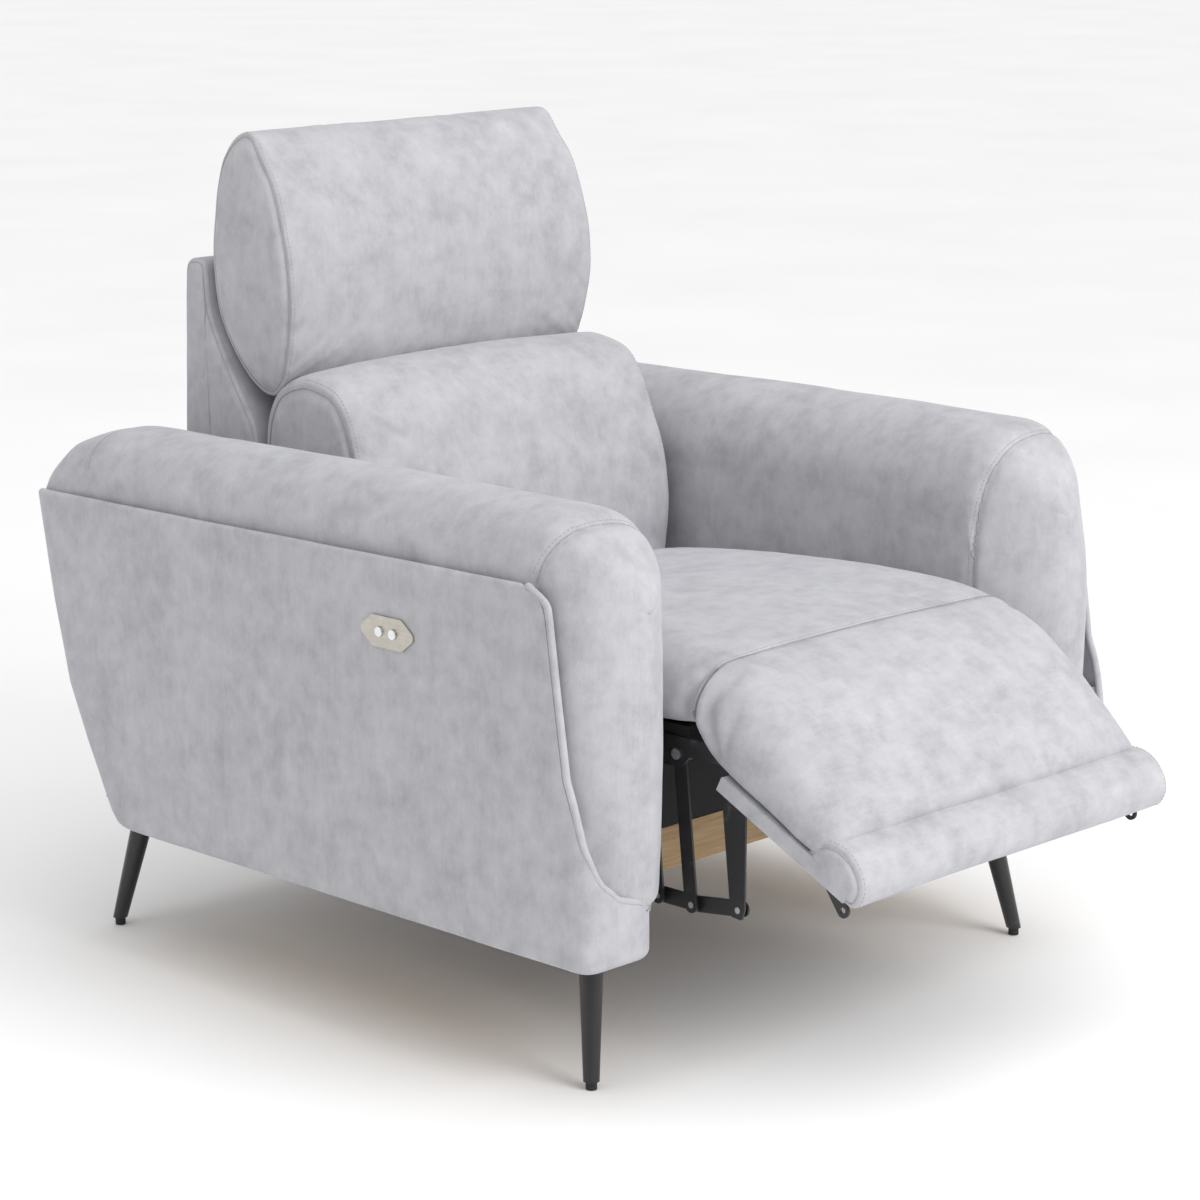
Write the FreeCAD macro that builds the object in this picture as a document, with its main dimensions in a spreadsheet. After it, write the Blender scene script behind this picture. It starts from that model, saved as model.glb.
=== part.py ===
import FreeCAD
import Part
import Sketcher
import os
import re

# Powered recliner armchair, footrest half open, back upright, headrest up.
# X runs across the seat, the front faces -Y, +Z is up. Origin: centre of the footprint, on the floor.

document = FreeCAD.newDocument("recliner_armchair")
sizes = document.addObject("Spreadsheet::Sheet", "Sizes")

driving = {
    # whole chair
    "overall_width": 1000, "overall_depth": 1269, "leg_height": 179,
    # arms
    "arm_width": 197, "arm_depth": 1032, "arm_height": 526, "arm_shell_height": 446, "arm_pad_skin": 15,
    "arm_shell_thick": 18, "board_thick": 15, "post_size": 45, "rail_height": 40,
    "arm_front_thick": 80, "arm_rear_round": 60,
    # legs
    "leg_top_radius": 16, "leg_foot_radius": 10, "leg_splay": 30, "leg_inset_x": 91,
    "leg_inset_front": 83, "leg_inset_rear": 46, "glide_radius": 7, "glide_height": 10,
    "leg_plate_side": 70, "leg_plate_thick": 3, "screw_radius": 2.25, "screw_length": 20,
    "screw_spacing": 50, "screw_head_radius": 4,
    # wooden rails between the arms
    "front_rail_back": 230, "wood_thick": 20, "base_rail_low": 6, "base_rail_high": 55,
    "crank_notch": 24, "rear_rail_inset": 37, "rear_rail_deep": 75, "rear_rail_reach": 36,
    "base_plate_tall": 45,
    # steel linkage
    "plate_thick": 3, "plate_gap": 1, "knee_gap": 5, "pivot_radius": 4, "pivot_clearance": 0.05,
    "rivet_head_radius": 7, "rivet_head_thick": 2.5, "strap_half": 10, "arm_clearance": 8,
    # footrest linkage, seen from the side
    "footrest_reach": 222, "hinge_rise": 226, "crank_forward": 75, "crank_drop": 10,
    "crank_length": 186, "crank_angle": 263.8, "crank_pitch": 55,
    # footrest
    "footrest_tilt": 26, "footrest_length": 218, "footrest_drop": 34, "footrest_thick": 18,
    "footrest_gap": 1, "leg_pad_length": 160, "leg_pad_thick": 72, "bolster_thick": 52,
    # swing links of the recline
    "swing_length": 67.4, "swing_angle": 74.5, "swing_drop": 135, "front_swing_back": 290,
    "rear_swing_ahead": 94,
    # seat
    "seat_gap": 3, "seat_wood_height": 22, "seat_wood_width": 34, "seat_wood_lift": 3,
    "seat_cushion_thick": 84, "seat_nose_back": 47, "webbing_thick": 2, "webbing_width": 45,
    # back
    "back_hinge_inset": 285, "back_hinge_drop": 75, "lumbar_ahead": 147, "lumbar_gap": 17,
    "lumbar_thick": 195, "lumbar_low": 110, "lumbar_high": 428, "back_panel_gap": 15,
    "back_panel_thick": 46, "back_panel_back": 226, "back_panel_high": 575, "back_post_thick": 32,
    "back_post_wide": 40, "back_post_high": 450,
    # headrest
    "headrest_gap": 19, "headrest_ahead": -43, "headrest_rise": 418, "headrest_high": 330,
    "headrest_hinge_x": 190, "headrest_board_thick": 12,
    # actuator
    "tube_radius": 11, "lever_length": 60, "lever_lead": 17, "yoke_slack": 3.2, "rod_radius": 7,
    "rod_clearance": 0.5, "track_side": 34, "motor_radius": 28, "motor_length": 120,
    # switch
    "switch_long": 102, "switch_tall": 39, "switch_thick": 3, "switch_y": 332, "switch_z": 355,
    "button_radius": 6, "button_pitch": 24, "button_stand": 3, "button_clearance": 0.3,
}

for row, (alias, value) in enumerate(driving.items(), start=1):
    sizes.set(f"A{row}", str(value))
    sizes.setAlias(f"A{row}", alias)
document.recompute()

# Places worked out from the driving sizes, as formulas.
places = {
    "half": "overall_width/2",
    "rear": "overall_depth/2",
    "arm_front": "(overall_depth/2 - arm_depth)",
    "arm_inner": "(overall_width/2 - arm_width)",
    "arm_top": "(leg_height + arm_height)",
    "shell_top": "(leg_height + arm_shell_height)",
    "base_low": "(leg_height + base_rail_low)",
    "base_high": "(leg_height + base_rail_low + base_rail_high)",
}
places["base_in"] = f"({places['arm_inner']} - arm_clearance - plate_thick)"
places["link_in"] = f"({places['base_in']} - plate_gap - plate_thick)"
places["seat_in"] = f"({places['link_in']} - plate_gap - plate_thick)"
places["crank_in"] = f"({places['seat_in']} - plate_gap - plate_thick)"
places["knee_in"] = f"({places['crank_in']} - knee_gap - plate_thick)"
for name in ("seat", "footrest", "lumbar", "back_panel", "headrest"):
    places[f"{name}_half"] = f"({places['arm_inner']} - {name}_gap)"
# P footrest hinge, G front crank ground, H back hinge, S swing link tops, L swing link feet, T headrest hinge
places["py"] = "(footrest_reach - overall_depth/2)"
places["pz"] = "(leg_height + hinge_rise)"
places["gy"] = f"({places['py']} + crank_forward)"
places["gz"] = f"({places['pz']} - crank_drop)"
places["ry"] = f"({places['gy']} + crank_pitch)"
places["rz"] = places["gz"]
places["ky"] = f"({places['gy']} + crank_length*cos(crank_angle))"
places["kz"] = f"({places['gz']} + crank_length*sin(crank_angle))"
places["k2y"] = f"({places['ry']} + crank_length*cos(crank_angle))"
places["k2z"] = f"({places['rz']} + crank_length*sin(crank_angle))"
places["by"] = f"({places['py']} + crank_length*cos(crank_angle))"
places["bz"] = f"({places['pz']} + crank_length*sin(crank_angle))"
places["hy"] = "(overall_depth/2 - back_hinge_inset)"
places["hz"] = f"({places['pz']} - back_hinge_drop)"
places["l1y"] = f"({places['py']} + front_swing_back)"
places["l2y"] = f"({places['hy']} - rear_swing_ahead - swing_length*cos(swing_angle))"
places["lz"] = f"({places['pz']} - swing_drop)"
places["s1y"] = f"({places['l1y']} + swing_length*cos(swing_angle))"
places["s2y"] = f"({places['hy']} - rear_swing_ahead)"
places["sz"] = f"({places['lz']} + swing_length*sin(swing_angle))"
places["ty"] = f"({places['hy']} - headrest_ahead)"
places["tz"] = f"({places['hz']} + headrest_rise)"

words = re.compile(r"[a-z][a-z0-9_]*")


def bound(formula):
    # A formula with its places spelt out and its words turned into sheet cells.
    def cell(found):
        word = found.group(0)
        if word in places:
            return bound(places[word])
        if word in driving:
            return f"Sizes.{word}"
        return word
    return words.sub(cell, str(formula))


def number(formula):
    return float(sizes.evalExpression(bound(formula)))


def bind(item, **formulas):
    for name, formula in formulas.items():
        item.setExpression(name.replace("__", "."), bound(formula))


def put(item, x, y, z):
    bind(item, Placement__Base__x=x, Placement__Base__y=y, Placement__Base__z=z)


def block(label, x, y, z, long, deep, tall):
    item = document.addObject("Part::Box", label)
    bind(item, Length=long, Width=deep, Height=tall)
    put(item, x, y, z)
    return item


turns = {"x": FreeCAD.Rotation(FreeCAD.Vector(0, 1, 0), 90),
         "y": FreeCAD.Rotation(FreeCAD.Vector(1, 0, 0), -90),
         "z": FreeCAD.Rotation()}


def rod(label, axis, x, y, z, radius, long):
    item = document.addObject("Part::Cylinder", label)
    item.Placement = FreeCAD.Placement(FreeCAD.Vector(), turns[axis])
    bind(item, Radius=radius, Height=long)
    put(item, x, y, z)
    return item


def fuse(label, items):
    joined = document.addObject("Part::MultiFuse", label)
    joined.Shapes = items
    joined.Refine = True
    return joined


def cut(label, base, tools):
    tool = tools[0] if len(tools) == 1 else fuse(label + "_tools", tools)
    item = document.addObject("Part::Cut", label)
    item.Base = base
    item.Tool = tool
    return item


def group(label, items):
    # Separate solids that share one node.
    item = document.addObject("Part::Compound", label)
    item.Links = items
    return item


def plane(body, role):
    return [face for face in body.Origin.OriginFeatures if face.Role == role][0]


def outline(label, corners, x, thick, rounds=None, round_by=None):
    # A body padded along X from a side outline of (y, z) formulas.
    body = document.addObject("PartDesign::Body", label)
    sketch = body.newObject("Sketcher::SketchObject", label + "_outline")
    sketch.AttachmentSupport = [(plane(body, "YZ_Plane"), "")]
    sketch.MapMode = "FlatFace"
    spots = [FreeCAD.Vector(number(y), number(z), 0) for y, z in corners]
    count = len(spots)
    for index in range(count):
        sketch.addGeometry(Part.LineSegment(spots[index], spots[(index + 1) % count]))
    for index in range(count):
        sketch.addConstraint(Sketcher.Constraint("Coincident", index, 2, (index + 1) % count, 1))
    for index, formulas in enumerate(corners):
        for kind, formula in zip(("DistanceX", "DistanceY"), formulas):
            place = sketch.addConstraint(Sketcher.Constraint(kind, -1, 1, index, 1, number(formula)))
            sketch.setExpression(f"Constraints[{place}]", bound(formula))
    pad = body.newObject("PartDesign::Pad", label + "_pad")
    pad.Profile = sketch
    bind(pad, Length=thick)
    bind(body, Placement__Base__x=x)
    if round_by is None:
        return body
    document.recompute()
    wanted = [spots[index] for index in (rounds if rounds is not None else range(count))]
    edges = []
    for index, edge in enumerate(pad.Shape.Edges, start=1):
        box = edge.BoundBox
        if box.YLength > 1e-6 or box.ZLength > 1e-6:
            continue
        if any(abs(box.YMin - spot.x) < 1e-4 and abs(box.ZMin - spot.y) < 1e-4 for spot in wanted):
            edges.append(f"Edge{index}")
    fillet = body.newObject("PartDesign::Fillet", label + "_round")
    fillet.Base = (pad, edges)
    bind(fillet, Radius=round_by)
    return body


def holes(label, x, spots, radius="pivot_radius + pivot_clearance", thick="plate_thick"):
    return [rod(f"{label}_hole_{index}", "x", f"{x} - 1", y, z, radius, f"{thick} + 2")
            for index, (y, z) in enumerate(spots)]


def strap(label, x, spots, half="strap_half", pierced=None):
    # A steel strap through the given pivots, its ends and bends round, with a hole at each pivot.
    pieces = []
    for index, (y, z) in enumerate(spots):
        pieces.append(rod(f"{label}_end_{index}", "x", x, y, z, half, "plate_thick"))
    for index in range(len(spots) - 1):
        (y0, z0), (y1, z1) = spots[index], spots[index + 1]
        run = document.addObject("Part::Box", f"{label}_run_{index}")
        angle = f"atan2(({z1}) - ({z0}); ({y1}) - ({y0}))"
        long = f"sqrt((({y1}) - ({y0}))^2 + (({z1}) - ({z0}))^2)"
        run.Placement = FreeCAD.Placement(FreeCAD.Vector(), FreeCAD.Rotation(FreeCAD.Vector(1, 0, 0), 30))
        bind(run, Length="plate_thick", Width=long, Height=f"2*({half})", Placement__Rotation__Angle=angle)
        put(run, x, f"({y0}) + ({half})*sin({angle})", f"({z0}) - ({half})*cos({angle})")
        pieces.append(run)
    blank = fuse(label + "_blank", pieces)
    wanted = spots if pierced is None else pierced
    return cut(label, blank, holes(label, x, wanted))


def mirrored(sign, inner, thick="plate_thick"):
    # Low X of a plate whose inner face is `inner` from the middle, on either side.
    return inner if sign > 0 else f"-({inner}) - ({thick})"


def rivet(label, sign, y, z, low, high, heads=("low", "high")):
    # A pivot rivet between two distances from the middle.
    start = low if sign > 0 else f"-({high})"
    shank = rod(label + "_shank", "x", start, y, z, "pivot_radius", f"({high}) - ({low})")
    pieces = [shank]
    if "low" in heads:
        inner = f"({low}) - rivet_head_thick" if sign > 0 else f"-({low})"
        pieces.append(rod(label + "_in", "x", inner, y, z, "rivet_head_radius", "rivet_head_thick"))
    if "high" in heads:
        outer = high if sign > 0 else f"-({high}) - rivet_head_thick"
        pieces.append(rod(label + "_out", "x", outer, y, z, "rivet_head_radius", "rivet_head_thick"))
    return fuse(label, pieces)


nodes = []
sides = (("left", -1), ("right", 1))


def keep(item):
    item.Label = item.Name
    nodes.append(item)
    return item


# ---- arms ----

def arm(side, sign):
    def across(inner, thick):
        return mirrored(sign, inner, thick)

    panel_in = "(arm_inner + arm_pad_skin)"
    frame_in = f"({panel_in} + board_thick)"
    frame_wide = f"(half - arm_shell_thick - {frame_in})"
    front = "(arm_front + arm_front_thick)"
    back = "(rear - arm_shell_thick)"
    under_top = "(shell_top - board_thick)"
    sole = "leg_height"
    keep(outline(f"{side}_arm_inner_panel",
                 [(front, sole), (f"{back} - 140", sole), (f"{back} - 20", "shell_top - 130"),
                  (back, "shell_top"), (front, "shell_top")],
                 across(panel_in, "board_thick"), "board_thick"))
    keep(block(f"{side}_arm_bottom_rail", across(frame_in, frame_wide), front, sole,
               frame_wide, f"{back} - 140 - {front}", "rail_height"))
    posts = [block(f"{side}_front_post", across(frame_in, frame_wide), front, f"{sole} + rail_height",
                   frame_wide, "post_size", f"{under_top} - {sole} - rail_height"),
             block(f"{side}_rear_post", across(frame_in, frame_wide), f"{back} - 185",
                   f"{sole} + rail_height", frame_wide, "post_size",
                   f"{under_top} - {sole} - rail_height")]
    keep(group(f"{side}_arm_posts", posts))
    keep(block(f"{side}_arm_top_board", across(frame_in, frame_wide), front, under_top,
               frame_wide, f"{back} - 5 - {front}", "board_thick"))
    shell_side = [("arm_front", sole), ("rear - 170", sole), ("rear - 125", f"{sole} + 37"),
                  ("rear - 55", f"{sole} + 182"), ("rear", "shell_top - 11"), ("rear - 6", "shell_top - 3"),
                  ("arm_front + 70", "shell_top + 5"), ("arm_front + 52", f"{sole} + 322"),
                  ("arm_front + 11", f"{sole} + 154")]
    keep(outline(f"{side}_arm_shell", shell_side, across("half - arm_shell_thick", "arm_shell_thick"),
                 "arm_shell_thick"))
    # the pad rolls over the top board, down the front and down the inner face
    pad_wide = "arm_width - 4"
    skin = "arm_pad_skin - 0.5"
    top = outline(f"{side}_pad_top",
                  [("arm_front + 5", "shell_top + 6"), ("rear - 2", "shell_top + 6"),
                   ("rear - 2", "arm_top"), ("arm_front + 5", "arm_top")],
                  across("arm_inner", pad_wide), pad_wide, rounds=(2, 3), round_by="arm_rear_round")
    front_wide = "arm_width - arm_shell_thick - 1"
    nose = block(f"{side}_pad_front", across("arm_inner", front_wide), "arm_front + 5", sole,
                 front_wide, "arm_front_thick - 5.5", "arm_height - 70")
    inner = block(f"{side}_pad_inner", across("arm_inner", skin), "arm_front + 40", sole,
                  skin, "arm_depth - 200", "arm_height - 70")
    keep(fuse(f"{side}_arm_pad", [top, nose, inner]))


for side, sign in sides:
    arm(side, sign)


# ---- legs ----

glides = []
plates = []
screws = []
for end, foot_y, lean in (("front", "arm_front + leg_inset_front", "leg_splay"),
                          ("rear", "rear - leg_inset_rear", "-leg_splay")):
    for side, sign in sides:
        name = f"{end}_{side}_leg"
        foot_x = f"{sign}*(half - leg_inset_x)"
        top_x = f"{sign}*(half - leg_inset_x - leg_splay)"
        top_y = f"{foot_y} + ({lean})"
        plate_z = "leg_height - leg_plate_thick"
        foot = document.addObject("Part::Circle", name + "_foot")
        head = document.addObject("Part::Circle", name + "_head")
        bind(foot, Radius="leg_foot_radius")
        put(foot, foot_x, foot_y, "glide_height")
        bind(head, Radius="leg_top_radius")
        put(head, top_x, top_y, plate_z)
        leg = document.addObject("Part::Loft", name)
        leg.Sections = [foot, head]
        leg.Solid = True
        leg.Ruled = True
        keep(leg)
        glides.append(rod(name + "_glide", "z", foot_x, foot_y, "0", "glide_radius", "glide_height"))
        corner_x = f"{top_x} - leg_plate_side/2"
        corner_y = f"{top_y} - leg_plate_side/2"
        sheet = block(name + "_sheet", corner_x, corner_y, plate_z,
                      "leg_plate_side", "leg_plate_side", "leg_plate_thick")
        bores = []
        for step_x in (-1, 1):
            for step_y in (-1, 1):
                tag = f"{name}_{step_x + 1}{step_y + 1}"
                x = f"{top_x} + {step_x}*screw_spacing/2"
                y = f"{top_y} + {step_y}*screw_spacing/2"
                bores.append(rod(tag + "_bore", "z", x, y, f"{plate_z} - 1",
                                 "screw_radius + 0.3", "leg_plate_thick + 2"))
                shank = rod(tag + "_shank", "z", x, y, plate_z, "screw_radius", "screw_length")
                cap = rod(tag + "_cap", "z", x, y, f"{plate_z} - 2", "screw_head_radius", "2")
                screws.append(fuse(tag + "_screw", [shank, cap]))
        plates.append(cut(name + "_plate", sheet, bores))
keep(group("leg_glides", glides))
keep(group("leg_plates", plates))
keep(group("leg_screws", screws))


# ---- fixed rails and plates between the arms ----

rail_clear = "arm_inner - 0.5"
rail_blank = block("front_rail_blank", f"-({rail_clear})", "py + front_rail_back", "base_low",
                   f"2*({rail_clear})", "wood_thick", "base_rail_high")
notch_in = "(knee_in - rivet_head_thick - 3)"
notches = [block(f"{side}_crank_notch", mirrored(sign, notch_in, f"arm_inner - {notch_in}"),
                 "py + front_rail_back - 1", "base_high - crank_notch", f"arm_inner - {notch_in}",
                 "wood_thick + 2", "crank_notch + 1")
           for side, sign in sides]
keep(cut("front_rail", rail_blank, notches))
rear_rail_half = "half - leg_inset_x - leg_splay + rear_rail_reach"
keep(block("rear_rail", f"-({rear_rail_half})", "rear - rear_rail_inset - rear_rail_deep", "leg_height",
           f"2*({rear_rail_half})", "rear_rail_deep", "base_high - leg_height"))
for side, sign in sides:
    x = mirrored(sign, "base_in")
    blank = outline(f"{side}_base_blank",
                    [("py + front_rail_back", "base_high"), ("rear - rear_rail_inset", "base_high"),
                     ("rear - rear_rail_inset", "base_high + base_plate_tall"),
                     ("py + front_rail_back", "base_high + base_plate_tall")],
                    x, "plate_thick", round_by="4")
    keep(cut(f"{side}_base_plate", blank, holes(f"{side}_base", x, [("l1y", "lz"), ("l2y", "lz")])))
keep(block("power_inlet", "-18", "rear - rear_rail_inset", "base_low + 16", "36", "18", "24"))


# ---- recline links ----

for name, low, high in (("front", "l1y", "s1y"), ("rear", "l2y", "s2y")):
    pair = [strap(f"{side}_{name}_swing", mirrored(sign, "link_in"), [(low, "lz"), (high, "sz")])
            for side, sign in sides]
    keep(group(f"{name}_swing_links", pair))
feet = [rivet(f"{side}_{name}_foot_rivet", sign, y, "lz", "link_in", "base_in + plate_thick")
        for side, sign in sides for name, y in (("front", "l1y"), ("rear", "l2y"))]
keep(group("base_rivets", feet))


# ---- seat ----

for side, sign in sides:
    x = mirrored(sign, "seat_in")
    blank = outline(f"{side}_seat_blank",
                    [("gy - 8", "gz - 16"), ("ry + 14", "rz - 16"), ("s1y - 16", "sz - 14"),
                     ("hy + 14", "hz - 20"), ("hy + 14", "hz + 18"), ("s2y", "pz + 12"),
                     ("py - 13", "pz + 12"), ("py - 13", "pz - 11"), ("gy - 20", "pz - 11")],
                    x, "plate_thick", round_by="6")
    pivots = [("py", "pz"), ("gy", "gz"), ("ry", "rz"), ("s1y", "sz"), ("s2y", "sz"), ("hy", "hz")]
    keep(cut(f"{side}_seat_plate", blank, holes(f"{side}_seat", x, pivots)))

seat_rivets = []
for side, sign in sides:
    for tag, y, z in (("p", "py", "pz"), ("g", "gy", "gz"), ("r", "ry", "rz"), ("hinge", "hy", "hz")):
        seat_rivets.append(rivet(f"{side}_{tag}_rivet", sign, y, z, "crank_in", "seat_in + plate_thick"))
    for tag, y in (("s1", "s1y"), ("s2", "s2y")):
        seat_rivets.append(rivet(f"{side}_{tag}_rivet", sign, y, "sz", "seat_in", "link_in + plate_thick"))
keep(group("seat_rivets", seat_rivets))

wood_z = "pz + seat_wood_lift"
wood_out = "(seat_in - 0.5)"
wood_front = "py + 60"
wood_rear = "hy - 40"
seat_side = [block(f"{side}_seat_side", mirrored(sign, f"{wood_out} - seat_wood_width", "seat_wood_width"),
                   wood_front, wood_z, "seat_wood_width", f"({wood_rear}) - ({wood_front})",
                   "seat_wood_height") for side, sign in sides]
keep(group("seat_side_rails", seat_side))
cross_half = f"({wood_out} - seat_wood_width)"
seat_cross = [block(f"seat_{end}_cross", f"-{cross_half}", y, wood_z, f"2*{cross_half}", "wood_thick",
                    "seat_wood_height")
              for end, y in (("front", wood_front), ("rear", f"({wood_rear}) - wood_thick"))]
keep(group("seat_cross_rails", seat_cross))
web_z = f"{wood_z} + seat_wood_height"
strips = [block(f"web_{index}", f"{index - 2.5}*2*{cross_half}/6 + ({cross_half}/6 - webbing_width/2)",
                wood_front, web_z, "webbing_width", f"({wood_rear}) - ({wood_front})", "webbing_thick")
          for index in range(-1, 5)]
keep(group("seat_webbing", strips))

cushion_z = f"({web_z} + webbing_thick + 1)"
nose = "(py + seat_nose_back)"
seat_rear = "(hy - lumbar_ahead - 9)"
keep(outline("seat_cushion",
             [(nose, cushion_z), (seat_rear, cushion_z), (seat_rear, f"{cushion_z} + seat_cushion_thick - 42"),
              (f"{nose} + 190", f"{cushion_z} + seat_cushion_thick"),
              (f"{nose} + 30", f"{cushion_z} + seat_cushion_thick"), (nose, f"{cushion_z} + 60")],
             "-seat_half", "2*seat_half"))


# ---- actuator, on the seat ----

tube_y = "(hy - 172)"
inside = "(seat_in - 0.2)"
pin_y = "(gy - lever_length*sin(lever_lead))"
pin_z = "(gz - lever_length*cos(lever_lead))"
yoke_y = "(gy - 0.92*lever_length*lever_lead*pi/180)"
rod_z = "(gz - 48)"
tube_z = rod_z
keep(rod("rear_cross_tube", "x", f"-{inside}", tube_y, tube_z, "tube_radius", f"2*{inside}"))
track_front = "(gy + 105)"
track_rear = f"({tube_y} - tube_radius - 2)"
track_block = block("track_block", "-track_side/2", track_front, f"{rod_z} - track_side/2", "track_side",
                    f"{track_rear} - {track_front}", "track_side")
track_bore = rod("track_bore", "y", "0", f"{track_front} - 1", rod_z, "rod_radius + rod_clearance",
                 f"{track_rear} - {track_front} + 2")
track_hanger = block("track_hanger", "-track_side/2", f"{tube_y} - tube_radius - 2", f"{rod_z} - track_side/2",
                     "track_side", "2*tube_radius + 4", "track_side")
tube_hole = rod("tube_hole", "x", "-track_side", tube_y, tube_z, "tube_radius + 0.1", "2*track_side")
keep(cut("actuator_track", fuse("track_body", [track_block, track_hanger]), [track_bore, tube_hole]))
motor_x = "(track_side/2 + 8 + motor_radius)"
gear_case = block("gear_case", "track_side/2 + 0.2", f"{track_rear} - 60",
                  f"{rod_z} - motor_radius - 2", "2*motor_radius + 12", "58", "2*motor_radius + 4")
motor_can = rod("motor_can", "y", motor_x, f"{track_rear} - 60 - motor_length", rod_z, "motor_radius",
                "motor_length")
keep(fuse("drive_motor", [gear_case, motor_can]))

shaft = rod("rod_shaft", "y", "0", f"{yoke_y} + 16", rod_z, "rod_radius", "250")
yoke_block = block("yoke_block", "-4", f"{yoke_y} - 14", f"{rod_z} - 24", "8", "34", "46")
yoke_slot = block("yoke_slot", "-5", f"{yoke_y} - pivot_radius - yoke_slack", f"{rod_z} - 18", "10",
                  "2*(pivot_radius + yoke_slack)", "32")
keep(fuse("actuator_rod", [shaft, cut("yoke", yoke_block, [yoke_slot])]))


# ---- footrest cranks and knee plates ----

def both(label, x_in, spots, **more):
    return keep(group(label, [strap(f"{side}_{label}", mirrored(sign, x_in), spots, **more)
                              for side, sign in sides]))


both("front_cranks", "crank_in", [("gy", "gz"), ("ky", "kz")])
both("rear_cranks", "crank_in", [("ry", "rz"), ("k2y", "k2z")])
both("knee_plates", "knee_in", [("k2y", "k2z"), ("ky", "kz"), ("by", "bz")])
knee_rivets = [rivet(f"{side}_{tag}_knee_rivet", sign, y, z, "knee_in", "crank_in + plate_thick",
                     heads=("low",))
               for side, sign in sides
               for tag, y, z in (("k", "ky", "kz"), ("k2", "k2y", "k2z"), ("b", "by", "bz"))]
keep(group("knee_rivets", knee_rivets))

tube_half = "(crank_in - rivet_head_thick - 1)"
torque_bar = rod("torque_bar", "x", f"-{tube_half}", "gy", "gz", "tube_radius", f"2*{tube_half}")
ends = [rod(f"{side}_tube_end", "x", mirrored(sign, tube_half, "rivet_head_thick + 1"), "gy", "gz",
            "tube_radius", "rivet_head_thick + 1") for side, sign in sides]
end_holes = [rod(f"{side}_tube_end_hole", "x", mirrored(sign, f"{tube_half} - 0.5", "rivet_head_thick + 1.5"),
                 "gy", "gz", "rivet_head_radius + 0.3", "rivet_head_thick + 1.5") for side, sign in sides]
lever_sides = []
for tag, x in (("near", "-4.5 - plate_thick"), ("far", "4.5")):
    lever_sides.append(strap(f"lever_{tag}", x, [("gy", "gz"), (pin_y, pin_z)], half="8", pierced=[(pin_y, pin_z)]))
lever_pin = rod("lever_pin", "x", "-4.5 - plate_thick", pin_y, pin_z, "pivot_radius + pivot_clearance",
                "9 + 2*plate_thick")
torque_whole = fuse("torque_whole", [torque_bar] + ends + lever_sides + [lever_pin])
keep(cut("torque_tube", torque_whole, end_holes))


# ---- footrest ----

def along(distance, lift):
    # A place on the footrest: `distance` forward of the board's rear edge, `lift` off its underside.
    y = f"(py - 2 - ({distance})*cos(footrest_tilt) - ({lift})*sin(footrest_tilt))"
    z = f"(pz - footrest_drop - 2 - ({distance})*sin(footrest_tilt) + ({lift})*cos(footrest_tilt))"
    return (y, z)


brackets = []
for side, sign in sides:
    x = mirrored(sign, "crank_in")
    blank = outline(f"{side}_bracket_blank",
                    [("py + 10", "pz + 9"), ("py - 9", "pz + 9"), ("py - 9", "pz - 14"), along("-2", "-1"),
                     along("footrest_length - 4", "-1"), along("footrest_length - 16", "-12"),
                     along("40", "-14"), ("by - 11", "bz + 2"), ("by - 7", "bz - 11"),
                     ("by + 9", "bz - 10"), ("by + 12", "bz + 4"), ("py + 10", "pz - 12")],
                    x, "plate_thick", round_by="2.5")
    brackets.append(cut(f"{side}_bracket", blank, holes(f"{side}_bracket", x, [("py", "pz"), ("by", "bz")])))
loop_spots = [along("footrest_length - 34", "-10"), along("footrest_length - 8", "-24")]
loops = [strap(f"{side}_loop", mirrored(sign, "crank_in - plate_thick"), loop_spots, half="9",
               pierced=[loop_spots[1]]) for side, sign in sides]
keep(group("footrest_brackets", brackets + loops))


def slab(label, start, end, low, high, half, **more):
    return keep(outline(label, [along(start, low), along(start, high), along(end, high), along(end, low)],
                        f"-({half})", f"2*({half})", **more))


slab("footrest_board", "0", "footrest_length", "0", "footrest_thick", "footrest_half")
slab("leg_pad", "4", "leg_pad_length", "footrest_thick + 0.3", "footrest_thick + leg_pad_thick",
     "seat_half - 4", rounds=(2,), round_by="30")
slab("footrest_bolster", "leg_pad_length + 4", "footrest_length + 14", "footrest_thick + 0.3",
     "footrest_thick + bolster_thick - 24", "seat_half", rounds=(1, 2), round_by="14")


# ---- back ----

post_y = "(hy + back_panel_back - back_panel_thick - back_post_thick)"
post_low = "(hz - 20)"
post_x = "(crank_in - back_post_wide)"
posts = [block(f"{side}_back_post", mirrored(sign, post_x, "back_post_wide"), post_y, post_low,
               "back_post_wide", "back_post_thick", "back_post_high") for side, sign in sides]
keep(group("back_posts", posts))
ties = [block(f"tie_{index}", f"-({post_x})", post_y, z, f"2*({post_x})", "back_post_thick", "60")
        for index, z in enumerate((post_low, f"{post_low} + back_post_high - 60"))]
keep(group("back_cross_rails", ties))
back_plates = []
for side, sign in sides:
    x = mirrored(sign, "crank_in")
    blank = outline(f"{side}_back_plate_blank",
                    [("hy - 12", "hz - 12"), (f"{post_y} + back_post_thick", "hz - 6"),
                     (f"{post_y} + back_post_thick", "hz + 150"), (f"{post_y} + 2", "hz + 150"),
                     (post_y, "hz + 40"), ("hy - 12", "hz + 14")],
                    x, "plate_thick", round_by="4")
    back_plates.append(cut(f"{side}_back_plate", blank, holes(f"{side}_back", x, [("hy", "hz")])))
keep(group("back_brackets", back_plates))
panel_rear = "(hy + back_panel_back)"
keep(outline("back_panel",
             [(f"{panel_rear} - back_panel_thick", "hz + 60"), (panel_rear, "hz + 60"),
              (panel_rear, "hz + back_panel_high"), (f"{panel_rear} - back_panel_thick", "hz + back_panel_high")],
             "-back_panel_half", "2*back_panel_half", rounds=(2, 3), round_by="18"))
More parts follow.
